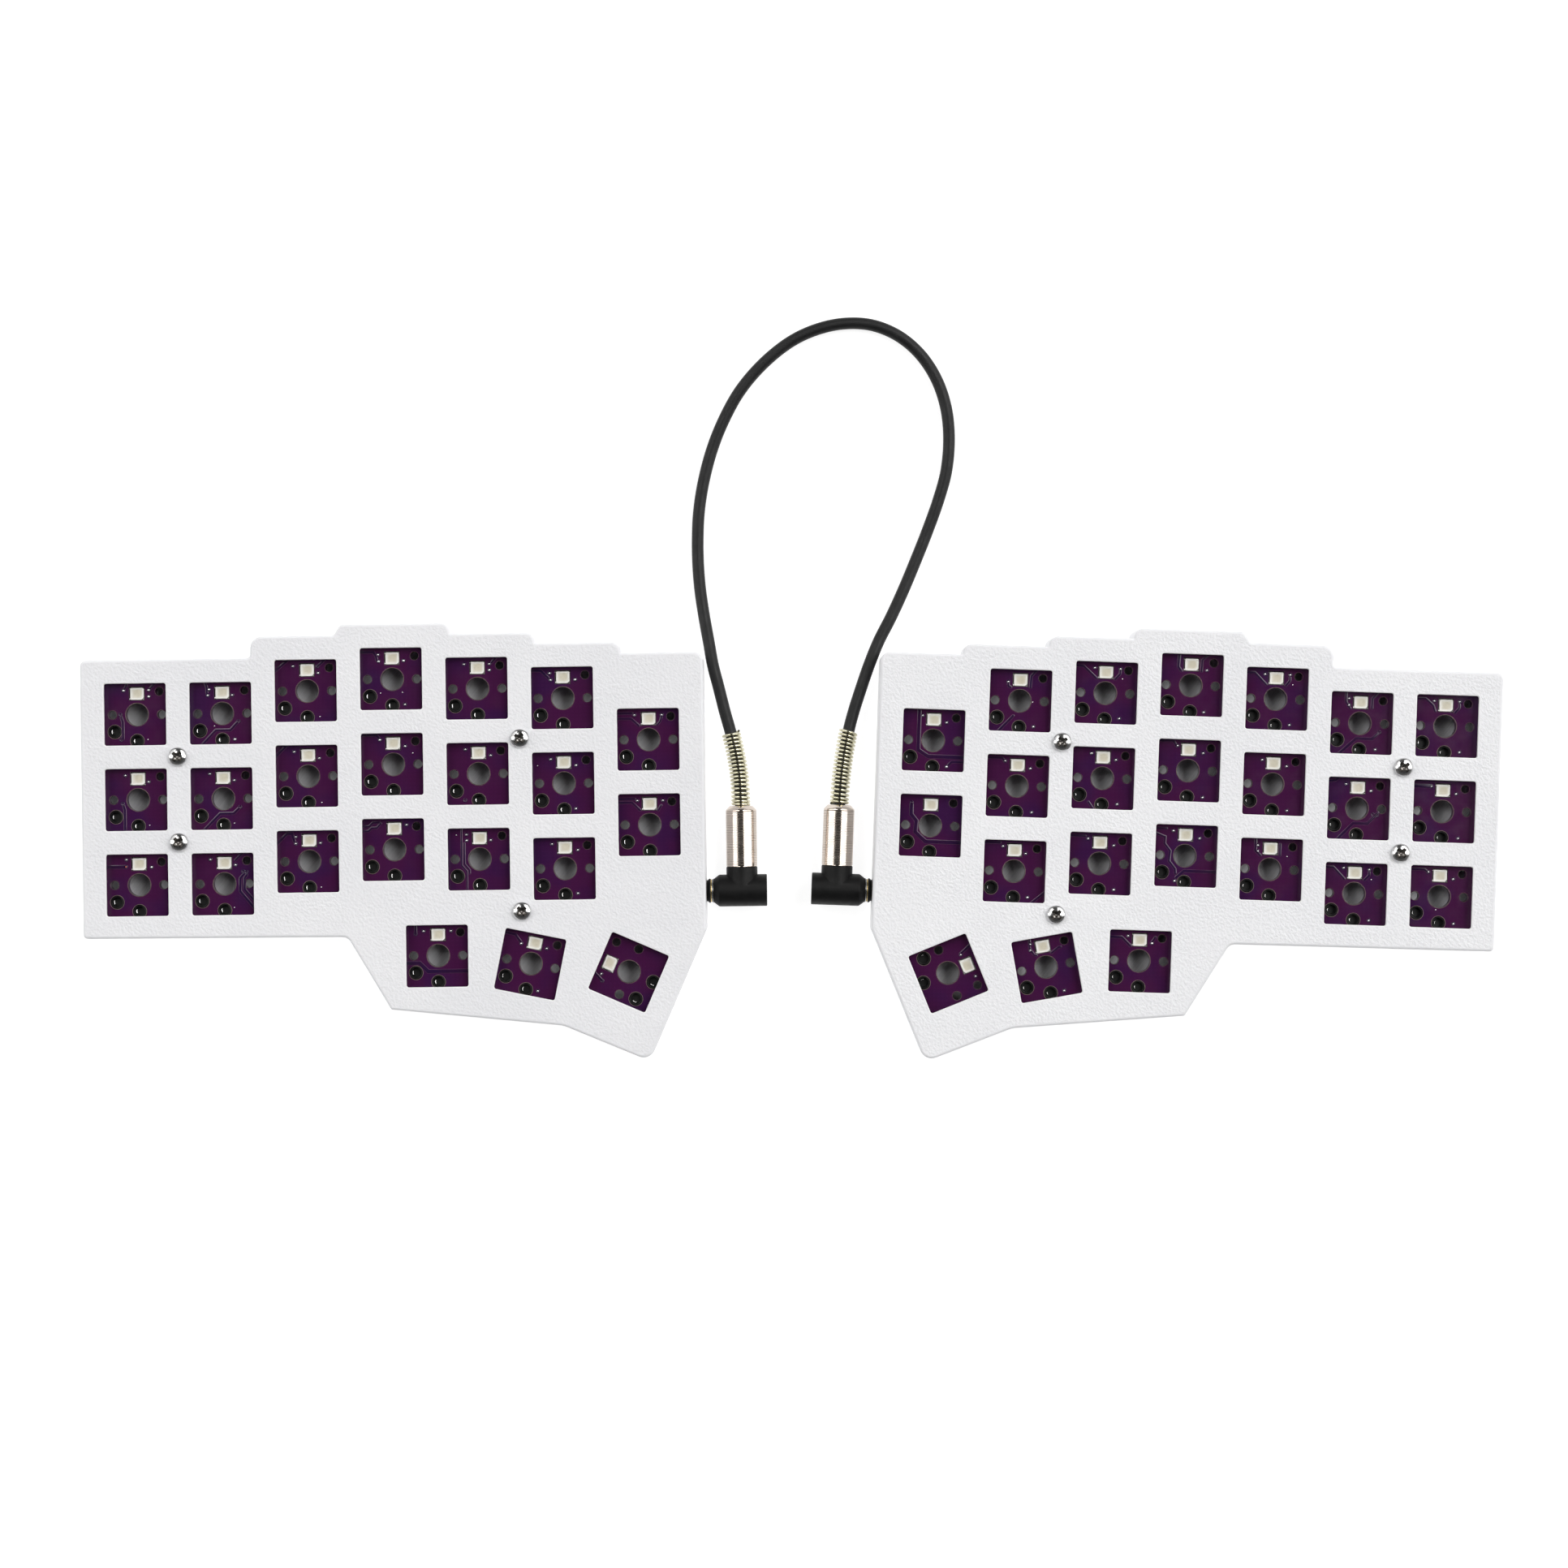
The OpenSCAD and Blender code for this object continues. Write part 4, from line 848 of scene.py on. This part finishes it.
def screw_head(b, cuts, put, turn):
    """Pan head turned as one solid, and the three forms that cut its cross recess: put(x, y, h) with h above the seat."""
    steps = [0.09 * k for k in range(18)] + [1.62, 1.70, 1.78, 1.85, 1.91, 1.96, 2.0, 2.035, 2.06, 2.08, 2.093, 2.1]
    dome = [(r, 0.40 + 0.95 * math.sqrt(max(0.0, 1 - (r / 2.1) ** 2.6))) for r in steps]
    b.lathe(dome + [(2.1, 0.06), (2.06, 0.0), (1.05, 0.0), (1.05, -1.2), (0, -1.2)], put, 72)
    for k in range(2):
        rings = []
        for h, length, width in ((1.60, 1.40, 0.50), (1.26, 1.33, 0.415), (0.95, 1.12, 0.36), (0.62, 0.80, 0.30), (0.50, 0.55, 0.22)):
            ring = []
            for side_x in (1, -1):
                for j in range(7):
                    t = math.pi * (j / 6 - 0.5)
                    x, y = side_x * (length - 0.22 * width + 0.22 * width * math.cos(t)), side_x * width * math.sin(t) * (1 - 0.08 * math.cos(t))
                    x, y = rot((x, y), turn + 90 * k)
                    ring.append(put(x, y, h))
            rings.append(ring)
        cuts[k].loft(rings, 1)
    cuts[2].lathe([(0, 0.30), (0.20, 0.34), (0.40, 0.52), (0.62, 0.86), (0.80, 1.24), (0.88, 1.60), (0, 1.60)], put, 48, [1] * 6)


def make_screws(side):
    for under, name, node in ((False, "_top_screw_heads", "_top_screws"), (True, "_bottom_screw_heads", "_bottom_screws")):
        b, cuts = Build(), [Build(), Build(), Build()]
        for i, s in enumerate(SCREWS):
            def put(x, y, h, s=s):
                return on_desk(side, (s[0] + x, s[1] + y, Z_FOOT - h if under else Z_TOP + h))
            screw_head(b, cuts, put, 65 - 11 * ((i * 3) % 4) if under else 45 + (3, -4, 6, -2)[i])
        o = b.done(side + name, ["chrome", "recess"], 60, weighted=False)
        for c in cuts:
            # the recess faces keep finish 1, the darker nickel with the recess's shade painted in
            boolean(o, c.done("recess_form", ["chrome", "recess"], weighted=False), "DIFFERENCE")
        smooth(o, 32, weighted=False)
        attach(o, side + "_half")
        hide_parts(side + node)


def make_feet(side):
    b = Build()
    for f in FEET:
        prof = [(0, 0.14), (2.2, 0.14), (2.75, 0.09), (3.05, 0.0), (3.35, 0.0), (3.62, 0.08), (3.83, 0.27), (3.92, 0.52), (4.0, 1.3), (3.96, 1.56), (3.85, 1.6), (0, 1.6)]
        b.lathe(prof, lambda x, y, z, f=f: on_desk(side, (f[0] + x, f[1] + y, z)), 48)
    o = b.done(side + "_feet", ["rubber"], 40, weld=False)
    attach(o, side + "_half")
    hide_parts(side + "_rubber_feet")


# ------------------------------------------------------------------ the link plugs
def make_plug(side):
    def out(x, y, z):
        """Along the jack: z outwards from the wall."""
        return on_desk(side, (WALL_X + z, JACK_Y + x, JACK_Z + y))

    def neck(x, y, z):
        """Along the neck: z towards the back."""
        return on_desk(side, (WALL_X + NECK_X + x, JACK_Y + z, JACK_Z + y))

    made = []
    b = Build()
    b.lathe([(0, 1.8), (2.75, 1.8), (2.9, 1.95), (3.5, 2.75), (3.6, 3.0), (3.6, 13.36), (3.57, 13.5), (3.5, 13.57), (3.36, 13.6), (0, 13.6)], out, 72)
    o = b.done(side + "_elbow_moulding", ["plug"], weighted=False)
    o.modifiers.clear()
    b = Build()
    b.lathe([(0, -0.6), (3.5, -0.6), (3.5, 5.12), (3.42, 5.3), (0, 5.3)], neck, 72)
    boolean(o, b.done("neck_form", ["plug"], weighted=False), "UNION")
    smooth(o, 28)
    made.append((o, "_plug_elbow", "plug_black"))
    b = Build()
    b.lathe([(1.78, 0.0), (2.34, 0.0), (2.40, 0.06), (2.40, 0.34), (2.56, 0.42), (2.70, 0.60), (2.74, 0.76), (2.70, 0.90), (2.58, 0.96), (2.52, 0.97), (2.54, 1.03),
             (2.54, 1.12), (2.52, 1.17), (2.60, 1.18), (2.60, 1.27), (2.50, 1.28), (2.53, 1.34), (2.53, 1.42), (2.50, 1.47), (2.66, 1.49), (2.72, 1.56), (2.72, 1.8),
             (1.78, 1.8), (1.78, 0.0)], out, 64,
            [1, 1, 1, 1, 1, 1, 1, 1, 1, 0, 0, 0, 1, 1, 1, 2, 2, 2, 1, 1, 1, 1, 1])
    made.append((b.done(side + "_collar_rings", ["gold", "plug", "chrome"], 40), "_plug_collar", "contact_gold"))
    # ribbed sleeve: fine turned ribs, chamfered far end, open for the cord
    b = Build()
    prof, mats = [(2.0, 5.3), (3.2, 5.3), (3.44, 5.42)], [0, 0, 0]
    ribs, y0, y1 = 32, 5.5, 17.7
    # each rib's walls and the groove floor after it take finish 1, the darker metal with the grooves' shade painted in
    for k in range(ribs):
        y = y0 + (y1 - y0) * k / ribs
        p = (y1 - y0) / ribs
        prof += [(3.42, y), (3.50, y + 0.07 * p), (3.50, y + 0.80 * p), (3.42, y + 0.87 * p)]
        mats += [1, 0, 1, 1]
    prof += [(3.47, 17.75), (3.47, 18.05), (3.30, 18.25), (2.66, 18.92), (2.5, 19.0), (1.62, 19.0), (1.5, 18.9), (1.5, 17.0), (2.0, 16.8), (2.0, 5.3)]
    mats += [0] * (len(prof) - 1 - len(mats))
    b.lathe(prof, neck, 88, mats)
    made.append((b.done(side + "_ribbed_sleeve", ["sleeve", "groove"], 50), "_plug_sleeve", "sleeve_nickel"))
    # coil spring along the cord's first stretch
    b = Build()
    u0, u1 = (0.08, 3.0) if side == "left" else (LAST - 3.0, LAST - 0.08)
    turns, per, r, wire = 19, 36, 1.87, 0.315

    def coil(t):
        u = u0 + (u1 - u0) * t
        a = 2 * math.pi * turns * t
        return along(u) + r * (math.cos(a) * side_of(u) + math.sin(a) * up_of(u)), along(u)

    rings = []
    for i in range(turns * per + 1):
        t = i / (turns * per)
        p, mid = coil(t)
        d = (coil(min(1, t + 0.0006))[0] - coil(max(0, t - 0.0006))[0]).normalized()
        o1 = (p - mid).normalized()
        s = d.cross(o1).normalized()
        o1 = s.cross(d)
        k = wire * (0.72 if i in (0, turns * per) else 1.0)
        rings.append([tuple(p + k * (math.cos(2 * math.pi * j / 12) * s + math.sin(2 * math.pi * j / 12) * o1)) for j in range(12)])
    b.loft(rings)
    made.append((b.done(side + "_coil_spring", ["spring"], 60, weld=False, weighted=False), "_plug_spring", "spring_zinc"))
    pieces = []
    for o, node, slot in made:
        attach(o, "link_harness")
        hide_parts(side + node)
        pieces.append(o)
    return pieces


plug_pieces = [p for s in SIDES for p in make_plug(s)]
plug_pieces += [nodes[s + n] for s in SIDES for n in ("_plug_contacts", "_plug_insulators")]

curve = bpy.data.curves.new("link_cord", "CURVE")
curve.dimensions = "3D"
curve.bevel_depth = 1.35 * MM
curve.bevel_resolution = 7
curve.use_fill_caps = True
spline = curve.splines.new("POLY")
line = [along(k / 8) for k in range(LAST * 8 + 1)]
spline.points.add(len(line) - 1)
for p, q in zip(spline.points, line):
    p.co = (q.x * MM, q.y * MM, q.z * MM, 1)
spline.use_smooth = True
cord = bpy.data.objects.new("link_cord", curve)
scene.collection.objects.link(cord)
curve.materials.append(M["cord"])
cord_length = sum((b - a).length for a, b in zip(line, line[1:])) * MM
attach(cord, "link_harness")
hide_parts("link_cable")

# ------------------------------------------------------------------ the two halves
for side in SIDES:
    make_case(side)
    make_board_features(side)
    make_leds(side)
    make_sockets(side)
    make_screws(side)
    make_feet(side)

# finishes of the pieces that keep their own shape
KEPT = {"circuit_board": "board", "bottom_cover": "cover", "key_diodes": "chip", "controller_chip": "chip", "flash_chip": "chip",
        "clock_crystal": "steel", "voltage_regulator": "chip", "usb_port_shell": "steel", "usb_port_tongue": "socket", "link_jack": "socket",
        "link_jack_contacts": "gold", "button_bases": "steel", "reset_button": "button_dark", "boot_button": "button_pale", "standoffs": "brass",
        "plug_contacts": "gold", "plug_insulators": "plug"}
for side in SIDES:
    for n, m in KEPT.items():
        o = nodes[side + "_" + n]
        if len(o.material_slots) == 0:
            o.data.materials.append(M[m])
        for s in o.material_slots:
            s.material = M[m]

# ------------------------------------------------------------------ stage and light
floor_mesh = bpy.data.meshes.new("floor")
floor_mesh.from_pydata([(x, y, -0.00003) for x, y in ((-30, -30), (30, -30), (30, 30), (-30, 30))], [], [(0, 1, 2, 3)])
floor = bpy.data.objects.new("floor", floor_mesh)
scene.collection.objects.link(floor)
fm, nt, shader = nodes_of("floor_white")
v = coords(nt)
nt.links.new(mix(nt, noise(nt, v, 6, 2), (0.30, 0.30, 0.30), (0.32, 0.32, 0.32)), shader.inputs["Base Color"])
shader.inputs["Roughness"].default_value = 0.9
shader.inputs["Specular IOR Level"].default_value = 0.0
shader.inputs["Emission Color"].default_value = (1, 1, 1, 1)
shader.inputs["Emission Strength"].default_value = 0.86
floor_mesh.materials.append(fm)

world = bpy.data.worlds.new("studio")
scene.world = world
world.use_nodes = True
nt = world.node_tree
back = nt.nodes["Background"]
tc = new(nt, "ShaderNodeTexCoord")
xyz = new(nt, "ShaderNodeSeparateXYZ")
nt.links.new(tc.outputs["Generated"], xyz.inputs["Vector"])
lean_x = math_node(nt, "ARCTAN2", xyz.outputs["X"], xyz.outputs["Z"])
lean_y = math_node(nt, "ARCSINE", xyz.outputs["Y"])
left_x = math_node(nt, "MULTIPLY", lean_x, -1.0)


def box_light(a, a0, a1, a2, a3, b, centre, half, soft, power):
    """A soft box in the sky between tilts a0..a3, around centre along the other way."""
    rise = remap(nt, a, a0, a1, 0, 1, True)
    fall = remap(nt, a, a2, a3, 1, 0, True)
    across = remap(nt, math_node(nt, "ABSOLUTE", math_node(nt, "SUBTRACT", b, centre)), half, half + soft, 1, 0, True)
    return math_node(nt, "MULTIPLY", math_node(nt, "MULTIPLY", rise, fall), math_node(nt, "MULTIPLY", across, power))


key_right = box_light(lean_x, 0.29, 0.36, 0.64, 0.77, lean_y, 0.40, 0.42, 0.08, 3.9)
key_left = box_light(left_x, 0.46, 0.54, 0.64, 0.77, lean_y, 0.40, 0.42, 0.08, 2.3)
high_right = box_light(lean_x, 0.20, 0.27, 0.40, 0.50, lean_y, 0.34, 0.16, 0.10, 3.3)
high_left = box_light(left_x, 0.20, 0.27, 0.44, 0.54, lean_y, 0.34, 0.16, 0.10, 3.9)
strip_right = box_light(lean_x, 0.62, 0.72, 1.36, 1.46, lean_y, 0.0, 0.12, 0.06, 2.4)
strip_left = box_light(left_x, 0.62, 0.72, 1.36, 1.46, lean_y, 0.0, 0.12, 0.06, 2.4)
wide_right = box_light(lean_x, 0.62, 0.75, 1.32, 1.45, lean_y, 0.46, 0.42, 0.10, 1.35)
wide_left = box_light(left_x, 0.62, 0.75, 1.32, 1.45, lean_y, 0.46, 0.42, 0.10, 0.8)
dim = remap(nt, xyz.outputs["Z"], 0.90, 0.25, 0.045, 0.16, True)
total = dim
for lamp in (key_right, key_left, high_right, high_left, strip_right, strip_left, wide_right, wide_left):
    total = math_node(nt, "ADD", total, lamp)
nt.links.new(total, back.inputs["Strength"])
back.inputs["Color"].default_value = (1.0, 0.995, 0.985, 1)

scene.view_settings.view_transform = "Standard"
scene.view_settings.look = "None"
scene.view_settings.exposure = 0.0
scene.view_settings.gamma = 1.0
